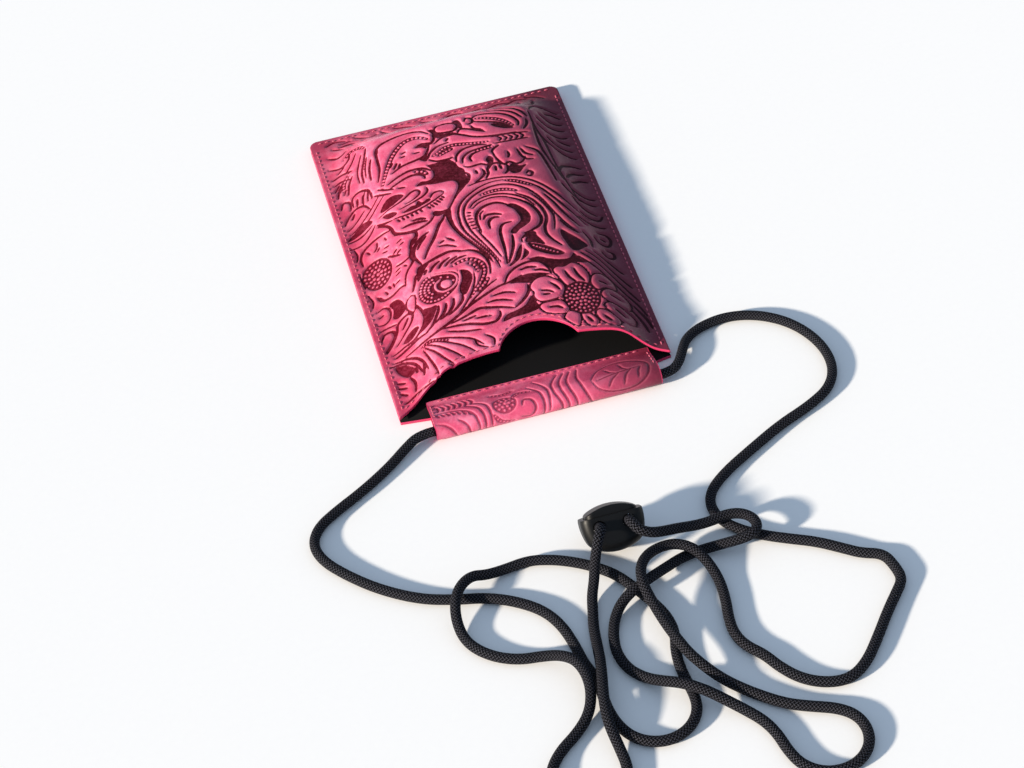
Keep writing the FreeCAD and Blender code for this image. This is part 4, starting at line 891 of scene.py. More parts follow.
# %% The flower at the lower right
front.lift(
    [(21.2, -35.4), (23, -33.6), (26, -34), (29.4, -32.6), (31.8, -34.6), (33.4, -38), (33.8, -42),
     (32, -46), (25, -45.6), (22.8, -41)],
    [(10, -42.4), (11.4, -39.8), (14, -38), (17, -37.8), (19.4, -39.4), (21.4, -41.6), (22.8, -45),
     (22, -48), (20.4, -50.2), (16, -51), (12, -50.6), (10.4, -47.8), (10.8, -45)],
    [(11, -54), (12.4, -52.4), (16, -52.2), (19.6, -52.6), (21, -55), (21.4, -58), (19.6, -59.8),
     (15, -58.8), (12.2, -57)],
    [(20.2, -60.4), (22, -59.6), (24.6, -62), (24, -66), (22.4, -69), (20, -66), (18.6, -62.6)],
    [(25.4, -63), (27, -61.6), (29.4, -64.6), (30.6, -69), (28.8, -71.4), (26, -69)],
    [(31, -64), (33.4, -62), (37, -65.6), (39, -70.6), (36.6, -73.4), (33, -71)],
    [(35.4, -60), (38, -58.4), (42, -61), (45.6, -65.4), (44.4, -70), (40.6, -70.4), (37.4, -65.4)],
    [(36.2, -52.6), (39.4, -49.6), (44, -50.4), (46.4, -55), (45, -60), (40.6, -58.6), (37, -56.6)],
    [(33.8, -46.4), (35.2, -42), (38.6, -40.4), (42.4, -43.4), (43, -48), (38.4, -48.8), (35.4, -50)],
)
front.cut(
    1.1, [(25.4, -36.6), (26.2, -40.4), (28.2, -44)], [(29.2, -36), (29.8, -40), (31.6, -44.4)],
    [(13.6, -45), (16.2, -45.8), (18.2, -47.4)], [(13.8, -47.4), (16.6, -47.8)],
    [(18.2, -41.8), (19.8, -44), (20.8, -46.6)], [(14.4, -55), (17.4, -55.4), (19.4, -57)],
    [(33.6, -66), (35.6, -70)], [(39, -62), (42, -66.4)], [(39.4, -53), (43.4, -55)],
    [(37, -45), (40, -46.4)], [(27.2, -64.6), (28.4, -68.4)],
)
front.seeds(28, -53.4, 7.2, 9.4, 5)
front.tell("right flower")

# %% The sprig over it
front.cut(
    1.2, [(1, -36.4), (3.6, -32), (8, -28.8), (13.4, -27.4), (17.4, -28.8), (19.6, -33), (19.9, -37)],
    [(8.6, -31.2), (12, -30.5), (15.2, -31.3)], [(14, -33), (17, -33.4), (19, -35)],
)
front.tell("sprig")

# %% The long beaded leaf above on the left
front.cut(
    1.3,
    [(-33.6, 50), (-31.4, 57), (-31, 64), (-30.4, 70), (-27.4, 73.2), (-21.4, 74.8), (-15.4, 75),
     (-10, 73.4), (-6.8, 70)],
    [(-14, 63.2), (-11, 64.4), (-7.6, 63), (-5.4, 65.6), (-5.6, 68.6)],
    [(-27, 51.2), (-22, 53.8), (-15.4, 54.8), (-11.6, 56), (-9.8, 58.6), (-8.4, 61.8)],
    [(-30, 45.2), (-24.6, 48), (-19.4, 49.2), (-14, 48), (-11.2, 45)],
    [(-30, 42), (-23.4, 45), (-18.4, 45.6), (-15, 43.6), (-14.6, 41)],
)
front.press(
    [(-14.4, 55), (-11.4, 56.2), (-10.6, 54.6), (-11.8, 52)],
    [(-6.6, 72.6), (-3.8, 72), (-3.6, 69), (-1, 67.2), (2.6, 66.8), (4.4, 65.4), (0, 64.6), (-3.6, 65.4),
     (-5, 67), (-5.6, 70)],
    [(-14.4, 63), (-10.6, 64.6), (-6.6, 63.4), (-8.6, 62), (-10, 60.6), (-11.4, 62)],
)
front.cut(
    1.0, [(-20.6, 61.8), (-18.6, 62.6)], [(-21.2, 59.6), (-19.4, 60)], [(-15.6, 59.6), (-13, 59.4)],
    [(-30.8, 67), (-29.6, 70.6)], [(-23.6, 57), (-25.6, 53.6)], [(-22.4, 56), (-23.4, 53.6)],
    [(-25.4, 58), (-27, 55.4)], [(-26.6, 40.6), (-23.6, 39.6)], [(-35, 46), (-32, 43), (-28.4, 41)],
    [(-37, 44), (-33.6, 41), (-30, 39)],
)
front.bead(
    0.7, 1.9,
    [(-33, 44.6), (-30, 51.6), (-27.2, 57.6), (-24.6, 62.4), (-21.2, 66.6), (-17.8, 69.2), (-13.8, 69.9),
     (-10.2, 68.6), (-8, 66.6)],
    [(-17.6, 47.4), (-14.8, 46), (-13.2, 43.4)],
)
front.tell("beaded leaf")

# %% Buds and leaves above on the right
front.press(
    [(12.3, 43.7), (13.9, 45.3), (15.2, 43.9), (14.8, 40.9), (13.2, 40.3), (12.1, 41.8)],
    [(20, 67.2), (23, 67), (26, 65.2), (28.4, 62.4), (25.4, 62.6), (22.6, 64), (20.6, 65.4)],
    [(20.7, 36), (22.3, 37.4), (24.9, 35.3), (27.7, 35.5), (26, 33.5), (23.7, 30.8), (20.8, 30.8),
     (20.1, 33.3)],
    [(4.6, 74), (7, 75), (8, 71), (7.4, 67.6), (6, 69.6)],
)
front.tell("buds")

# %% The outlines of the buds and leaves
front.cut(
    1.2,
    [(-4, 71.6), (-2.6, 73.8), (1.6, 74.2), (5.4, 72.8), (5.8, 70), (3.6, 67.8), (-0.6, 68), (-3.6, 69.4),
     (-4, 71.6)],
    [(-6, 62), (-2.4, 64.6), (3, 65.4), (6.4, 63.6), (11, 60.6), (16.4, 59), (22, 58.8), (29, 59)],
    [(5.2, 65.6), (6.4, 67.6), (9.4, 67), (13.4, 64.4), (16.4, 62.6)],
    [(9.4, 72.6), (10.6, 75), (12.8, 73.8), (12.6, 70.8), (10.4, 70)],
    [(11.6, 68.6), (12.4, 66.2), (14.8, 64.8), (15.8, 63.2)],
    [(13, 71.6), (16.4, 70), (20.4, 68.8), (24.4, 66.8), (28.6, 62.6)],
    [(12.6, 73.4), (15.4, 75.6), (20.4, 75.6), (25.4, 74.2), (29.4, 71), (31.6, 66.6), (31, 63.4)],
    [(20.4, 78), (26, 76.8), (31, 73.6), (33.8, 69)], [(24.4, 79.6), (30, 78), (34.4, 74), (36.4, 69.6)],
    [(-10.4, 53.6), (-9, 56.8), (-5, 59.8), (0, 60.6)],
    [(-10.6, 52.8), (-7.6, 50), (-2.6, 49.4), (-0.6, 50)],
    [(0.2, 46), (1, 50), (4.4, 53.4), (9.6, 54.4), (15, 53.6)],
    [(2.4, 44.2), (3.4, 47.8), (7, 50.8), (12, 51.8), (17, 52.8)],
    [(6.4, 44), (6, 46.6), (8, 49), (11, 49.8)], [(15.6, 47.4), (17, 49.6), (19.8, 51.6)],
    [(15.9, 49), (16.3, 44.4), (17.2, 40.8), (18.8, 37.9), (21.4, 38.9), (23.7, 37), (26.7, 37.9),
     (28.6, 41)],
    [(2.6, 41.6), (5, 40.6), (9.4, 41), (12, 39.6), (13.4, 41.4)], [(22.2, 46.2), (22.2, 43.8), (21.4, 42)],
    [(0.2, 63.4), (-1, 61.8)], [(11.8, 36.6), (13.6, 39.2), (15.7, 39.7), (18.1, 38.1)],
    [(26.1, 29.3), (27.7, 30.8), (28.8, 29.1), (27.7, 27.4), (26.2, 28)],
    [(1, 38.6), (3, 36), (2.4, 32.6), (0.6, 29.8)], [(4.6, 29.6), (8, 32), (9.6, 34.6), (9.2, 37.4)],
    [(9.4, 30.6), (11, 33.6), (11.4, 37), (13.6, 40.4)], [(6.4, 37.4), (6.6, 35)],
    [(15, 37.8), (14.6, 34.4)], [(16.8, 38), (17, 35)], [(19.8, 37.4), (19.4, 33.4), (17.6, 31.4)],
    [(37.9, 74.8), (38, 62.3), (39.4, 52.1), (40.4, 34.3), (43.9, 12.1)],
    [(37.5, 65.2), (36.7, 49.2), (38.1, 37.9), (41, 24.9)],
    [(30.3, 47.7), (34.8, 43.2), (36.6, 31.9), (37.3, 22.5)], [(32.6, 60.6), (34.8, 64), (35.4, 68)],
    [(26.4, 47), (27.2, 41.8), (28.9, 39.2), (31.6, 38.6)], [(28, 47), (29.2, 43.3), (32, 41.4)],
)
front.tell("with outlines")

# %% Beads and chevrons between them
front.bead(
    0.6, 1.6, [(-8.4, 54), (-5.4, 55.6), (-2.6, 57.4), (1.4, 57.9), (6, 56.9), (11, 55.9), (16, 55.4)],
    [(-6, 53.2), (-3, 54.6), (0.4, 55.6)], [(9.6, 50.4), (13.4, 51), (17, 51.4)],
    [(14.6, 73), (18, 72.6), (21.4, 71.2), (24.6, 69.4), (27.2, 66.8), (29, 64)],
)
front.cut(
    0.9, *[[(x, 57.6), (x + 1.4, 56), (x + 0.2, 54.4)] for x in np.arange(20.4, 30.5, 2.4)],
    [(18, 58), (26, 58.6), (34, 58)], [(18, 53.2), (26, 53.6), (33, 54)],
)
front.tell("with chevrons")

# %% Leaves on the flanks and over the far end
front.cut(
    1.1, [(41.6, 14), (42.6, 10), (45, 6.6), (49, 4.4)], [(42, 4), (44.6, 1.4), (49, 1.2), (51, 4)],
    [(39, 22), (41, 17), (45, 13), (50.6, 11)], [(43, 20), (46, 17), (51, 15.4)],
    [(40, -1), (44, -3.4), (50.4, -4)],
    [(43.6, -12), (44.6, -16), (48, -16.6), (50, -13), (49, -9), (45.6, -8.6)],
    [(46, -12.4), (47.6, -13.6)], [(44, -22), (45.6, -25), (48.4, -24.4), (48.8, -21.4), (46.4, -20)],
    [(39, -12), (41, -17), (40.6, -22)],
    [(33, -29), (37, -34.4), (41, -40), (45.4, -46.6), (49.4, -54), (51.4, -62)],
    [(34.4, -27), (39.4, -32.6), (44, -38.6), (48, -45.6), (51, -53)],
    [(36.6, -25.6), (42, -30.6), (46.6, -37), (50.4, -44)], [(40, -24.6), (45, -29), (49.4, -35)],
    [(46, -58), (48.4, -65), (49.4, -72)], [(47.6, -55), (50.4, -63), (51.4, -70)],
    [(40.4, 30), (42.6, 36), (47, 39), (51, 38)], [(42.6, 28), (46, 33), (51, 33.6)],
    [(44, 25.4), (48, 28.6), (51.4, 28)], [(38.4, 58), (41, 52), (45.4, 47.6), (51, 45)],
    [(41.6, 57), (44.6, 52.6), (50.6, 50.4)], [(45.6, 57.4), (50.8, 55)],
    [(39.4, 66), (42, 61.6), (46.6, 60), (51, 61)], [(40.4, 71), (44, 66.4), (51, 66)],
    [(42.4, 75), (46, 71), (51, 70.6)], [(38.6, 76), (41, 81), (45.6, 82), (51, 79)],
    [(45, 76.6), (48, 77.4), (51.4, 75)], [(-51.6, 38), (-49, 42.4), (-45.6, 45), (-42, 43.6), (-40, 39)],
    [(-48, 40), (-46.4, 43)], [(-51, 49), (-49.4, 53), (-46.8, 51), (-47.4, 46)],
    [(-46, 47), (-45.4, 52.6), (-41.6, 53.4), (-38.4, 50), (-38, 45)], [(-44.4, 46), (-43.6, 50.4)],
    [(-42, 45.4), (-41, 50)], [(-46.4, 56), (-45, 62), (-42.6, 66)], [(-50.8, 57), (-49, 63), (-45, 67.4)],
    [(-51, 66), (-47.4, 67), (-43.6, 65)], [(-51, 70), (-46.6, 71), (-42, 69)],
    [(-39, 56), (-38.6, 63), (-36, 70), (-34, 76)], [(-36, 54), (-35.4, 61), (-33.4, 67)],
    [(-51, 78), (-46, 75.6), (-42, 77.4), (-41, 82)], [(-50, 86), (-45.6, 83), (-41.4, 85)],
    [(-47, 91), (-42.4, 88)], [(-38, 88), (-33, 84), (-27, 82.6), (-21, 84), (-17, 88)],
    [(-33, 91), (-28, 87), (-22, 88)], [(-18, 80), (-13, 82.4), (-9.6, 87), (-10, 93)],
    [(-13, 79.4), (-7.6, 82), (-4.6, 87), (-4.6, 93)], [(-8, 79), (-2, 81.4), (1.4, 87), (1.6, 93)],
    [(0, 79), (5, 82.4), (7.6, 88), (7, 93)], [(9, 80), (12, 84), (12.6, 90)],
    [(13, 91), (15, 85.4), (20, 82), (26, 82.4), (30, 86), (29, 91)], [(18, 90), (20.4, 86), (25, 86)],
    [(32, 82), (36, 86), (37, 92)], [(38, 82), (42, 86), (43, 91)],
)
front.tell("flanks")

# %% The slope to the closed end
front.cut(
    0.9, [(-49, 95), (-45, 97), (-40, 96)], [(-43, 93.6), (-38, 95.4)],
    [(-36, 97), (-30, 94.4), (-26, 95.8)], [(-24, 96.6), (-20, 93), (-15, 92)],
    [(-18, 96.8), (-12, 95.6), (-9, 93.4)], [(-6, 96.6), (0, 95)], [(3, 94), (7, 96.8), (12, 96.4)],
    [(9, 93.4), (15, 95), (21, 96.6)], [(22, 94), (28, 96.4), (34, 95.6)],
    [(31, 93), (36, 96.4), (42, 94.8)], [(41, 96.6), (45, 95.4), (48.6, 92.4)],
)
front.press(
    [(-25, 89.6), (-19, 92), (-11.6, 90.6), (-15, 88.6)],
    [(12.6, 92.6), (20, 93.4), (26.4, 91.4), (18, 90.4)],
    [(-44, 91), (-39, 92.6), (-35, 90.8), (-40, 89.8)], [(-6.6, 92), (-1, 93.8), (5, 92.6), (0, 91.4)],
)
front.tell("closed end")

# %% Fine lines at the left
front.cut(
    0.8, [(-50.6, 31), (-44.6, 34.8), (-39, 38.8), (-34.4, 42.8)],
    [(-49, 29), (-42.6, 32.8), (-37.4, 36.8), (-33, 40.4)], [(-51, 34), (-46.4, 37.4), (-42, 41)],
    [(-41.8, 44.4), (-41.2, 48), (-40, 51)], [(-39.8, 44), (-39.2, 48), (-38.6, 50.6)],
    [(-38, 43.6), (-37.6, 47.6)], [(-49.6, 60.4), (-46.4, 64.6)], [(-51.4, 61.6), (-48.6, 65.8)],
    [(-48, 57.6), (-46.6, 60.6)], [(-45, 70), (-41.4, 73.4), (-38.4, 78)], [(-48, 72.6), (-44.6, 75)],
    [(-37.6, 58), (-36.8, 64), (-34.8, 70)], [(-40.6, 58), (-40.4, 64.6), (-38.6, 70), (-36.6, 74)],
    [(-51.4, 13), (-50.4, 17), (-51, 21)], [(-52, 5), (-51.4, -5)], [(-51.4, -9), (-50, -14), (-51, -18)],
    [(-40.8, 9.6), (-38.6, 8.2)], [(-39.8, 11.4), (-37.4, 10.4)], [(-38.4, -6.4), (-36, -6.2)],
    [(-33.4, -8), (-34.6, -6.4)], [(-31.6, 6.6), (-33.6, 6)], [(-32, 9), (-34.4, 8.2)],
    [(-46.6, 16.4), (-45.4, 13.6)], [(-38.4, 17), (-37.8, 14.4)], [(-44.4, -12), (-43.6, -15)],
    [(-40.6, -11), (-40.4, -13.6)],
)
front.bead(
    0.6, 1.7, [(-44, 79), (-40, 81.6), (-36.4, 80), (-34.6, 77)], [(-47.6, 60), (-47, 64.4), (-43.6, 68.6)],
)
front.tell("whole pattern")

# %% [markdown]
# ## Pressing
# A plate pushes the ground down and leaves the leaves standing, each with a soft shoulder and a slight
# crown. Every vertex moves along its own normal by what the field says, so the relief follows the curved
# front. A Displace modifier could do it from a texture, but then the finish couldn't read the same
# numbers. The field, the depth of colour and the cut edge are kept on the vertices for that.

# %% Press it into the sheet
PRESSED, CROWN = 0.5, 0.28
SHOULDER_FOOT, SHOULDER_RUN, CROWN_RUN = 0.3, 1.1, 1.2


def keep(sheet, name, values):
    """Store a number at each vertex, for the leather's finish to read."""
    kept = sheet.data.attributes.new(name, "FLOAT", "POINT")
    kept.data.foreach_set("value", np.asarray(values, dtype=float))


def press_sheet(sheet, field, deep, crown, dye):
    """Push a sheet in where its pattern is cut, and keep the pattern and its dye for the finish."""
    normal = np.empty(len(sheet.data.vertices) * 3)
    sheet.data.vertices.foreach_get("normal", normal)
    ease = np.clip((field + SHOULDER_FOOT) / SHOULDER_RUN, 0, 1)
    ease = ease * ease * (3 - 2 * ease)
    shift = (ease - 1) * deep + crown * (1 - np.exp(-np.clip(field, 0, None) / CROWN_RUN))
    put_spots(sheet, spots_of(sheet) + normal.reshape(-1, 3) * shift[:, None] * MM)
    keep(sheet, "pattern", field)
    keep(sheet, "dye", np.full(len(field), dye))
    print(sheet.name, "pressed by up to", deep, "mm")


def close_sheet(sheet):
    """Fill the face that a turned edge leaves open, and turn every face outward."""
    only(sheet)
    bpy.ops.object.mode_set(mode="EDIT")
    bpy.ops.mesh.select_all(action="DESELECT")
    bpy.ops.mesh.select_non_manifold()
    bpy.ops.mesh.edge_face_add()
    bpy.ops.mesh.select_all(action="SELECT")
    bpy.ops.mesh.normals_make_consistent(inside=False)
    bpy.ops.object.mode_set(mode="OBJECT")


def mark_rim(sheet, inner):
    """Mark what was turned down after this many vertices, because a cut edge has its own colour."""
    keep(sheet, "rim", np.arange(len(sheet.data.vertices)) >= inner)


press_sheet(front_leather, front.field[:len(front_place)], PRESSED, CROWN, dye=1.0)
turn_edge(front_leather, [(0.1, 1.0008), (0.25, 1.0008), (0.6, 1.0), (0.25, 0.9992), (0.1, 0.98)])
mark_rim(front_leather, len(front_place))
press_sheet(back_leather, front.field[len(front_place):], PRESSED, crown=0.0, dye=1.0)
turn_edge(back_leather, [(-0.12, 1.0008), (-0.28, 1.0006), (-0.5, 1.0), (-0.28, 0.9994), (-0.12, 0.9992)])
close_sheet(back_leather)
mark_rim(back_leather, len(back_place))

# %% [markdown]
# ## The pattern on the strip
# The strip was cut from the same tooled hide, but its pattern is shallow and pale where it was folded and
# rubbed. It is drawn in millimetres across the strip and along its fold, pressed less deep, and dyed half
# as strongly. The strip then gets its thickness from a Solidify modifier, because its edges are square.

# %% The pattern on the strip, in millimetres across it and along its fold
strip = Tooling(strip_x, strip_run)
strip.cut(0.9, *[[(x, 35), (x + 1.2, 32.6), (x + 0.6, 29.8)] for x in np.arange(-40, -25, 2.2)])
strip.cut(
    1.0,
    *[[(x, 27 - 0.02 * (x + 40) ** 2), (x + 1.1, 24.6 - 0.02 * (x + 40) ** 2)]
      for x in np.arange(-40.6, -28, 2)],
)
strip.cut(
    0.8, [(-41, 28.4), (-36, 28), (-31, 26.4), (-27, 22.4), (-25.6, 17), (-26, 12)],
    [(-29, 29.6), (-25, 26), (-23, 20), (-23.4, 13)], [(-26.6, 31), (-22, 27.4), (-20.4, 21), (-20.8, 14)],
    [(-41.5, 21), (-38, 19.4), (-35.4, 16), (-34.6, 11)], [(-33, 21), (-30, 17.6), (-29.4, 12)],
    [(-9, 15.6), (-5.6, 14.8), (-3.2, 18), (-4.2, 22), (-7, 22.8), (-8, 20.4)],
    [(-4, 32), (-0.6, 26), (0.4, 19), (-1, 12)], [(-1, 36), (2, 30), (3, 23), (2, 15)],
    [(9, 37.6), (5.4, 30), (5, 23), (7, 16), (5.6, 10)],
    [(11.6, 37.6), (8.4, 30), (8, 23), (9.6, 16), (8.6, 10)],
    [(14.2, 37.6), (11.4, 30), (11.2, 23), (12.8, 16), (12, 10)],
    [(17, 37.6), (15.4, 30), (16, 22), (18, 15), (18.6, 10)],
)
strip.cut(
    0.6,
    [(20, 24), (24, 31), (31, 34.6), (38, 33), (42.6, 28), (42, 21), (36, 16.6), (28, 16.4), (22, 19),
     (20.2, 23)],
    [(22, 23), (30, 25), (40, 26.6)], [(26.6, 30), (28, 27), (30.4, 25)],
    [(32.6, 32), (33.4, 28), (35.4, 25.8)], [(26, 19), (28, 22), (31, 24.6)],
    [(32, 18.6), (33.4, 22.4), (36, 25.4)], [(38, 20), (38.6, 23), (40, 26)],
)
strip.bead(
    0.5, 1.5, [(-19, 33), (-14, 31.4), (-9.4, 33)], [(-19.4, 19), (-17, 15.4), (-12, 14)],
    [(-11, 26), (-8, 29), (-3.6, 28)],
)
strip.seeds(-14.4, 23.4, 4.6, 4.8, 3)
strip.tell("strip")

# %% Press the strip and give it its thickness
STRIP_PRESSED, STRIP_DYE = 0.22, 0.55
AT_EDGE = 0.999
press_sheet(tunnel_strip, strip.field, STRIP_PRESSED, crown=0.0, dye=STRIP_DYE)
keep(tunnel_strip, "rim", (np.abs(strip_share[:, 0]) > AT_EDGE) | (strip_share[:, 1] > AT_EDGE))
apply_modifier(tunnel_strip, "SOLIDIFY", thickness=LEATHER * MM, offset=-1)
only(tunnel_strip)
bpy.ops.object.shade_smooth_by_angle(angle=math.radians(50))

# %% [markdown]
# ## Stitches
# Every seam is sewn with a thick pink thread, one stitch after another at an even pitch. One stitch is
# modelled as a short fat loop that dips into the leather at both ends, and its copies follow the seams
# and take the slope of the leather under them. The side and end seams go through both panels, so they
# show under the back as well.

# %% One stitch
STITCH_LENGTH, STITCH_PITCH, THREAD = 2.0, 3.0, 0.6
THREAD_SPREAD, STITCH_FULLNESS, STITCH_DIP = 1.1, 0.75, 0.42
bpy.ops.object.select_all(action="DESELECT")
bpy.ops.mesh.primitive_uv_sphere_add(segments=8, ring_count=6, radius=0.5)
one_stitch = bpy.context.active_object
shape = spots_of(one_stitch)
share_along = np.sign(shape[:, 2]) * np.abs(shape[:, 2] * 2) ** STITCH_FULLNESS / 2
stitch_spots = np.stack([share_along * STITCH_LENGTH, shape[:, 0] * THREAD * THREAD_SPREAD,
                         shape[:, 1] * THREAD], axis=1)
stitch_spots[:, 2] -= STITCH_DIP * np.abs(share_along * 2) ** 3
stitch_faces = [list(face.vertices) for face in one_stitch.data.polygons]
bpy.data.objects.remove(one_stitch)
print("one stitch:", len(stitch_faces), "faces")


# %% Sew along a line
RAY_START = 60
STITCH_LIFT = {1: 0.2, -1: -0.22}


def touch(surface, x, y, side):
    """Where a sheet is met from above, or from below if side is -1, and how it slopes there."""
    found, normal = surface.ray_cast(Vector((x, y, RAY_START * side)) * MM, Vector((0, 0, -side)))[:2]
    return None if found is None else (np.array(found) / MM, np.array(normal))


def laid_stitch(start, middle, end, lift):
    """The stitch's spots from a start to an end, each a place and its slope, over the middle one."""
    ahead = end[0] - start[0]
    ahead /= np.linalg.norm(ahead)
    upward = middle[1] - ahead * (middle[1] @ ahead)
    upward /= np.linalg.norm(upward)
    return middle[0] + upward * lift + stitch_spots @ np.stack([ahead, np.cross(upward, ahead), upward])


def sew(name, points, *sheets):
    """Copies of the stitch along a line in millimetres, on a sheet and, if given, under a second one."""
    points = np.array(points, dtype=float)
    run = run_along(points)
    count = int(run[-1] // STITCH_PITCH)
    middles = (run[-1] - count * STITCH_PITCH) / 2 + (np.arange(count) + 0.5) * STITCH_PITCH
    spots, faces = [], []
    for sheet, side in zip(sheets, (1, -1)):
        surface = BVHTree.FromObject(sheet, bpy.context.evaluated_depsgraph_get())
        for middle in middles:
            reach = middle + np.array([-0.5, 0, 0.5]) * STITCH_LENGTH
            line = zip(np.interp(reach, run, points[:, 0]), np.interp(reach, run, points[:, 1]))
            places = [touch(surface, x, y, side) for x, y in line]
            if None in places:
                continue
            faces += [[len(spots) + corner for corner in face] for face in stitch_faces]
            spots += laid_stitch(*places, STITCH_LIFT[side]).tolist()
    mesh = bpy.data.meshes.new(name)
    mesh.from_pydata((np.array(spots) * MM).tolist(), [], faces)
    mesh.polygons.foreach_set("use_smooth", [True] * len(mesh.polygons))
    print(name, len(faces) // len(stitch_faces), "stitches")
    return put_in_scene(name, mesh)


# %% The seven rows
SEAM = 2.2
STRIP_SEAM = (STRIP_END + SEWN_FROM) / 2
SIDE_ROW = np.linspace(-82.0, 94.2, 30)
MOUTH_ROW = np.linspace(-51.4, 51.0, 400)
END_ROW = 53.5
ROW_INSET, END_INSET = 2.5, 1.1
OPEN_ENDS = (-93.4, -81.0)

both = (front_leather, back_leather)
left_stitches = sew("left_stitches", [(-half_width(y) + SEAM, y) for y in SIDE_ROW], *both)
right_stitches = sew("right_stitches", [(half_width(y) - SEAM, y) for y in SIDE_ROW], *both)
end_stitches = sew("end_stitches", [(x, CLOSED_END - SEAM) for x in (-END_ROW, END_ROW)], *both)
mouth_stitches = sew("mouth_stitches", [(x, mouth_edge(x) + SEAM) for x in MOUTH_ROW], front_leather)
across_strip = (STRIP_LEFT + ROW_INSET, STRIP_RIGHT - ROW_INSET)
tunnel_stitches = sew("tunnel_stitches", [(x, STRIP_SEAM) for x in across_strip], tunnel_strip)
left_end = sew("left_end_stitches", [(STRIP_LEFT + END_INSET, y) for y in OPEN_ENDS], tunnel_strip)
right_end = sew("right_end_stitches", [(STRIP_RIGHT - END_INSET, y) for y in OPEN_ENDS], tunnel_strip)

# %% [markdown]
# ## The spring in the lock
# A small steel spring pushes the lock's button out, so that it pinches the cord. A solid spring would
# stick through the button when that is pressed. The coil of the solid model is copied here, and the
# copy's length from its foot along its axis is measured.

# %% A copy of the coil
SPRING_AXIS = (0, 0.6427876, 0.7660444)
SPRING_FOOT = (0.0068, -0.17592, 0.0059)
SAME_PLACE = 0.000001
coil_spring = put_in_scene("coil_spring", nodes["lock_spring"].data.copy())
only(coil_spring)
bpy.ops.object.mode_set(mode="EDIT")
bpy.ops.mesh.select_all(action="SELECT")
bpy.ops.mesh.remove_doubles(threshold=SAME_PLACE)
bpy.ops.object.mode_set(mode="OBJECT")
bpy.ops.object.shade_smooth_by_angle(angle=math.radians(40))
coil_reach = ((spots_of(coil_spring) - SPRING_FOOT) @ np.array(SPRING_AXIS)).max()
print("coil spring:", round(coil_reach / MM, 2), "mm long")

# %% [markdown]
# ## Finishes
# A finish is a sum over the surface: noise, waves and the numbers kept on the vertices are added and
# multiplied, and the result is fed to the shader's colour, roughness or bump. In Blender's editor that is
# a net of nodes. Here a small class lets it be written as plain sums, and the nodes are made behind them.

# %% Sums over a surface
class Value:
    """One socket in a finish. Sums of values add the Math nodes that work them out."""

    def __init__(self, finish, socket):
        self.finish = finish
        self.socket = socket

    def math(self, operation, *terms):
        """The Math node with this operation on these terms."""
        return self.finish.node("Math", {"operation": operation}, dict(enumerate(terms)))

    def __add__(self, other):
        return self.math("ADD", self, other)

    def __sub__(self, other):
        return self.math("SUBTRACT", self, other)

    def __rsub__(self, other):
        return self.math("SUBTRACT", other, self)

    def __mul__(self, other):
        return self.math("MULTIPLY", self, other)

    def __pow__(self, other):
        return self.math("POWER", self, other)

    __radd__ = __add__
    __rmul__ = __mul__


# %% A finish and its nodes
MIX_SHARE, MIX_FIRST, MIX_SECOND, MIX_RESULT = 0, 6, 7, 2


class Finish:
    """A material. Constants go straight onto the shader, and what varies is fed from values."""

    def __init__(self, name, **constants):
        self.material = bpy.data.materials.new(name)
        self.material.use_nodes = True
        self.tree = self.material.node_tree
        self.shader = self.tree.nodes["Principled BSDF"]
        self.feed(self.shader, {name.replace("_", " "): value for name, value in constants.items()})

    def feed(self, node, sockets):
        """Set or link a node's sockets."""
        for name, value in sockets.items():
            if isinstance(value, Value):
                self.tree.links.new(value.socket, node.inputs[name])
            else:
                node.inputs[name].default_value = value

    def node(self, kind, settings, sockets, output=0):
        """A new node, set up and fed, as the value of one of its outputs."""
        made = self.tree.nodes.new("ShaderNode" + kind)
        for name, value in settings.items():
            setattr(made, name, value)
        self.feed(made, sockets)
        return Value(self, made.outputs[output])

    def place(self):
        """The place on the piece, in metres."""
        return self.node("TexCoord", {}, {}, "Object")

    def kept(self, name):
        """A number that was kept on the vertices."""
        return self.node("Attribute", {"attribute_name": name}, {}, "Fac")

    def part(self, vector, axis):
        """One of a vector's three numbers."""
        return self.node("SeparateXYZ", {}, {"Vector": vector}, axis)

    def texture(self, kind, scale, **sockets):
        """A texture over the piece. A scale of 1000 has about one cell in a millimetre."""
        return self.node("Tex" + kind, {}, {"Vector": self.place(), "Scale": scale, **sockets})

    def mix(self, share, first, second):
        """From a first colour to a second one. A Mix node names its sockets alike, so numbers pick them."""
        sockets = {MIX_SHARE: share, MIX_FIRST: first, MIX_SECOND: second}
        return self.node("Mix", {"data_type": "RGBA"}, sockets, MIX_RESULT)

    def bump(self, height, strength, distance):
        """A normal that makes a height look raised."""
        return self.node("Bump", {}, {"Height": height, "Strength": strength, "Distance": distance})

    def spread(self, value, low, high, start=0.0, end=1.0):
        """A value's stretch from low to high, spread from start to end."""
        limits = {"From Min": low, "From Max": high, "To Min": start, "To Max": end}
        return self.node("MapRange", {}, {"Value": value, **limits})

    def wear(self, *pieces):
        """Put the finish on pieces."""
        for piece in pieces:
            piece.data.materials.clear()
            piece.data.materials.append(self.material)
        print(self.material.name, "on", ", ".join(piece.name for piece in pieces))


def colour(red, green, blue):
    """A colour as it is read off a screen, from 0 to 255, as the numbers that a shader takes."""
    parts = [part / 255 for part in (red, green, blue)]
    return (*(part / 12.92 if part <= 0.04045 else ((part + 0.055) / 1.055) ** 2.4 for part in parts), 1.0)
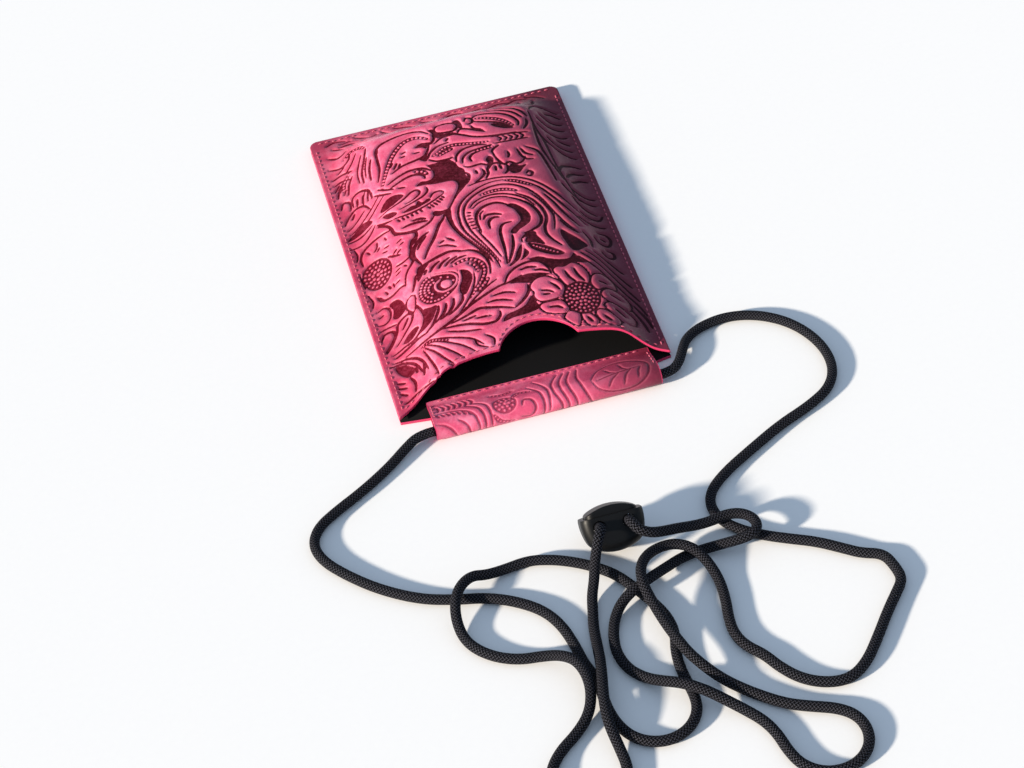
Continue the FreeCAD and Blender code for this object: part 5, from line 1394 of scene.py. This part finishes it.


# %% [markdown]
# ## Tooled leather
# The hide was dyed dark and then rubbed with a pink finish that stays on what stands up, so the ground
# and the cut lines are wine red and the leaves pink. The field that was kept on the vertices says which
# is which, so the colour follows the relief exactly. Painted highlights make the shoulders of the leaves
# paler and lay pale patches on the raised leather, most on the left, where the lamp falls. Painted shade
# makes the right side and the far end darker. The cut edges have a bright dye of their own. Grain and
# stains come from fine textures, which need no picture of leather. Below, places on the pouch are in
# metres and the pattern is in millimetres.

# %% What the colour is worked out from
leather = Finish("tooled_leather", Coat_Roughness=0.34, Specular_IOR_Level=0.12)
pattern, dye, rim = (leather.kept(name) for name in ("pattern", "dye", "rim"))
across, lengthwise = (leather.part(leather.place(), axis) for axis in (0, 1))
mottle = leather.texture("Noise", 120.0, Detail=5.0, Roughness=0.65)
stain = leather.texture("Noise", 900.0, Detail=3.0, Roughness=0.6)
grain = leather.texture("Voronoi", 1500.0)
raised = leather.spread(pattern + (stain - 0.5) * 0.25, -0.02, 0.14)
tone = 1 - dye * (1 - raised)
shade = leather.spread(tone + (mottle - 0.5) * 0.5 + (stain - 0.5) * 0.5, -0.04, 1.05)
# Painted highlight: a pale band along the shoulder of every raised leaf, the same all round it.
painted_shoulder_highlight = leather.spread(pattern, 0.1, 0.22) * leather.spread(pattern, 0.75, 0.3)
# Painted highlight: pale patches on the raised leather, broken up by noise and strongest toward the left,
# where the lamp falls.
painted_highlight_patches = leather.spread(mottle, 0.44, 0.66) * raised * leather.spread(across, 0.03, -0.045, 0.2, 0.75)
left_side = leather.spread(across, -0.036, -0.050)
# Painted shade: the right side darkens toward its edge, where the pouch turns away from the lamp, and its
# coat is thinner there.
painted_shade_right = leather.spread(across, 0.010, 0.045)
# Painted shade: the slope down to the closed end is darker.
painted_shade_far_end = leather.spread(lengthwise, 0.080, 0.096)
print("the leather's sums take", len(leather.tree.nodes), "nodes so far")

# %% The colours, from the ground up
GROUND, GROUND_LEFT = colour(62, 2, 13), colour(98, 4, 26)
# After PINK come two painted highlight colours, one for the shoulders and one for the pale patches.
PINK, PAINTED_SHOULDER_HIGHLIGHT, PAINTED_PATCH_HIGHLIGHT = colour(230, 88, 126), colour(246, 140, 162), colour(248, 146, 176)
# The far-end and right-side colours here are painted shade.
DARK_LEFT, PAINTED_SHADE_FAR_END, PAINTED_SHADE_RIGHT = colour(168, 28, 62), colour(128, 20, 48), colour(44, 10, 24)
CUT_EDGE = colour(208, 60, 104)

base = leather.mix(leather.spread(across, 0.004, -0.040), GROUND, GROUND_LEFT)
# Painted light is mixed in here: the highlights on the shoulders and patches, and the shade on the right side
# and far end.
for share, tint in [
    (shade, PINK), (painted_shoulder_highlight * 0.35, PAINTED_SHOULDER_HIGHLIGHT), (painted_highlight_patches, PAINTED_PATCH_HIGHLIGHT), (left_side * raised * 0.5, DARK_LEFT),
    (painted_shade_far_end * 0.4, PAINTED_SHADE_FAR_END), (painted_shade_right * 0.82, PAINTED_SHADE_RIGHT), (rim, CUT_EDGE),
]:
    base = leather.mix(share, base, tint)
leather.feed(leather.shader, {
    "Base Color": base,
    "Roughness": 0.56 - tone * 0.16 + (mottle - 0.5) * 0.15,
    "Coat Weight": tone * (0.45 - painted_shade_right * 0.28),
    "Normal": leather.bump(leather.spread(pattern, -0.25, 0.45) * 4.0 + grain + stain * 0.6, 0.35, 0.00014),
})
leather.wear(front_leather, back_leather, tunnel_strip)

# %% [markdown]
# ## Lining
# The pocket is lined with a thin cloth, coloured near black to match the shade inside the mouth, so its
# black is partly painted shade. Its weave is too fine to model, so a wave over the surface stands for it,
# in colour and in bump. The inner face of the back panel is leather and is seen only at the mouth's
# corners, where it lies in shade. It wears the same black finish, which is painted shade there.

# %% Lining cloth
lining_finish = Finish("lining_cloth", Roughness=0.85, Specular_IOR_Level=0.2)
weave = lining_finish.texture("Wave", 900.0)
lining_finish.feed(lining_finish.shader, {
    "Base Color": lining_finish.mix(weave, colour(7, 7, 8), colour(15, 14, 15)),
    "Normal": lining_finish.bump(weave, 0.3, 0.0001),
})
lining_finish.wear(back_lining, front_lining)
# Painted shade: the back panel's leather inner face wears the black cloth finish, for the shade at the
# mouth's corners.
painted_shade_inner_face = max(back_leather.data.polygons, key=lambda face: face.area)
back_leather.data.materials.append(lining_finish.material)
painted_shade_inner_face.material_index = 1

# %% [markdown]
# ## Thread
# Sewing thread is twisted from finer yarns. The twist could be modelled on the one stitch that is copied,
# but a stitch is only two millimetres long, so slanting bands in two pinks, with a bump, are enough to
# show it.

# %% Seam thread
thread_finish = Finish("seam_thread", Roughness=0.6)
twist = thread_finish.node("TexWave", {"bands_direction": "DIAGONAL"},
                           {"Vector": thread_finish.place(), "Scale": 600.0})
thread_finish.feed(thread_finish.shader, {
    "Base Color": thread_finish.mix(twist, colour(164, 52, 80), colour(214, 110, 132)),
    "Normal": thread_finish.bump(twist, 0.4, 0.0001),
})
thread_finish.wear(left_stitches, right_stitches, end_stitches, mouth_stitches, tunnel_stitches, left_end,
                   right_end)

# %% [markdown]
# ## Braid
# The cord's cover is braided from black yarns that wind both ways and pass over and under each other.
# Modelling every yarn would take very many faces, so the tube's UV map, metres along and turns around,
# gives two sets of slanting bands. Where their counts add up to an even number one set lies on top, and
# elsewhere the other. The crown of each yarn is painted pale grey as a highlight, over a gloss that is
# kept low.

# %% Braided cord
YARNS_AROUND, YARNS_ALONG = 8.0, 760.0
braid = Finish("braided_cord", Roughness=0.6, Specular_IOR_Level=0.05)
turns = braid.node("UVMap", {"uv_map": "braid"}, {})
along, around = braid.part(turns, 0), braid.part(turns, 1)
one_way = around * YARNS_AROUND + along * YARNS_ALONG
other_way = around * YARNS_AROUND - along * YARNS_ALONG


def band(way):
    """From 0 at a band's edges to 1 along its middle."""
    return way.math("SINE", way.math("FRACT", way) * math.pi)


crossings = one_way.math("FLOOR", one_way) + other_way.math("FLOOR", other_way)
over = crossings.math("MODULO", crossings.math("ABSOLUTE", crossings), 2.0)
yarns_and_painted_glint = band(one_way) * over + band(other_way) * (1 - over)
# Painted highlight: the crowns of the yarns are mixed toward pale grey, and the same bands give the bump.
braid.feed(braid.shader, {
    "Base Color": braid.mix(yarns_and_painted_glint ** 6.0, colour(1, 1, 2), colour(70, 70, 78)),
    "Normal": braid.bump(yarns_and_painted_glint, 0.8, 0.0004),
})
braid.wear(neck_cord, tunnel_cord)

# %% [markdown]
# ## Plastic and steel
# The lock is moulded from black plastic with a fine grain in its surface, and its spring is drawn from
# steel wire. Their shapes are the solid model's own, so only a finish is needed, with a little noise in
# its roughness.

# %% Black plastic
plastic = Finish("black_plastic", Specular_IOR_Level=0.25)
moulding = plastic.texture("Noise", 2500.0, Detail=2.0)
plastic.feed(plastic.shader, {
    "Base Color": plastic.mix(moulding, colour(7, 7, 8), colour(15, 15, 16)),
    "Roughness": 0.36 + moulding * 0.14,
    "Normal": plastic.bump(moulding, 0.15, 0.00005),
})
plastic.wear(nodes["lock_body"], nodes["lock_plunger"], nodes["cord_sleeve"])

# %% Spring steel
steel = Finish("spring_steel", Metallic=1.0)
drawn = steel.texture("Noise", 1800.0)
steel.feed(steel.shader, {
    "Base Color": steel.mix(drawn, colour(150, 150, 152), colour(200, 200, 202)),
    "Roughness": 0.22 + drawn * 0.2,
})
steel.wear(coil_spring)

# %% [markdown]
# ## Floor and light
# The pouch lies on a sheet of white paper, under an even pale sky and one warm lamp low on the left. An
# area lamp would fade across the paper. A sun lamp gives the same light all over, and its angle sets how
# soft the edges of the shadows are.

# %% Floor
bpy.ops.object.select_all(action="DESELECT")
bpy.ops.mesh.primitive_plane_add(size=6)
floor = bpy.context.active_object
floor.name = "floor"
paper = Finish("white_paper", Roughness=0.9, Specular_IOR_Level=0.1)
fibres = paper.texture("Noise", 400.0, Detail=3.0)
paper.feed(paper.shader, {"Base Color": paper.mix(fibres, colour(251, 251, 252), colour(254, 254, 254))})
paper.wear(floor)

# %% Sky and lamp
LAMP_TOWARD = Vector((20, 6, -7.5))
world = bpy.data.worlds.new("sky")
bpy.context.scene.world = world
world.use_nodes = True
sky = world.node_tree.nodes["Background"].inputs
sky["Color"].default_value = (0.6, 0.77, 1.0, 1.0)
sky["Strength"].default_value = 0.5

lamp = put_in_scene("lamp", bpy.data.lights.new("lamp", "SUN"))
lamp.data.energy = 6.4
lamp.data.color = (1.0, 0.89, 0.74)
lamp.data.angle = math.radians(4)
lamp.rotation_euler = LAMP_TOWARD.to_track_quat("-Z", "Y").to_euler()
bpy.context.scene.view_settings.view_transform = "Standard"
print("lamp shines toward", tuple(LAMP_TOWARD))

# %% [markdown]
# ## What each piece stands for
# Every soft piece rides on the pouch's body and takes the place of its plain solid, which stays behind
# for collisions.

# %% Tie the pieces to the solid model
stands_for = {
    front_leather: ("leather", ["front_panel"]),
    back_leather: ("leather", ["back_panel"]),
    tunnel_strip: ("leather", []),
    back_lining: ("lining", ["back_lining"]),
    front_lining: ("lining", ["front_lining"]),
    left_stitches: ("thread", ["left_seam_thread"]),
    right_stitches: ("thread", ["right_seam_thread"]),
    end_stitches: ("thread", ["end_seam_thread"]),
    mouth_stitches: ("thread", ["mouth_thread"]),
    tunnel_stitches: ("thread", ["tunnel_thread"]),
    left_end: ("thread", ["tunnel_end_thread"]),
    right_end: ("thread", []),
    neck_cord: ("cord", ["cord_left", "cord_fold", "cord_right"]),
    tunnel_cord: ("cord", ["cord_in_tunnel"]),
    coil_spring: ("spring", ["lock_spring"]),
}
for piece, (slot, solids) in stands_for.items():
    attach(piece, "pouch")
    if solids:
        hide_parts(*solids)
print(len(stands_for), "pieces ride on the pouch")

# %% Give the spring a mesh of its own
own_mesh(coil_spring)
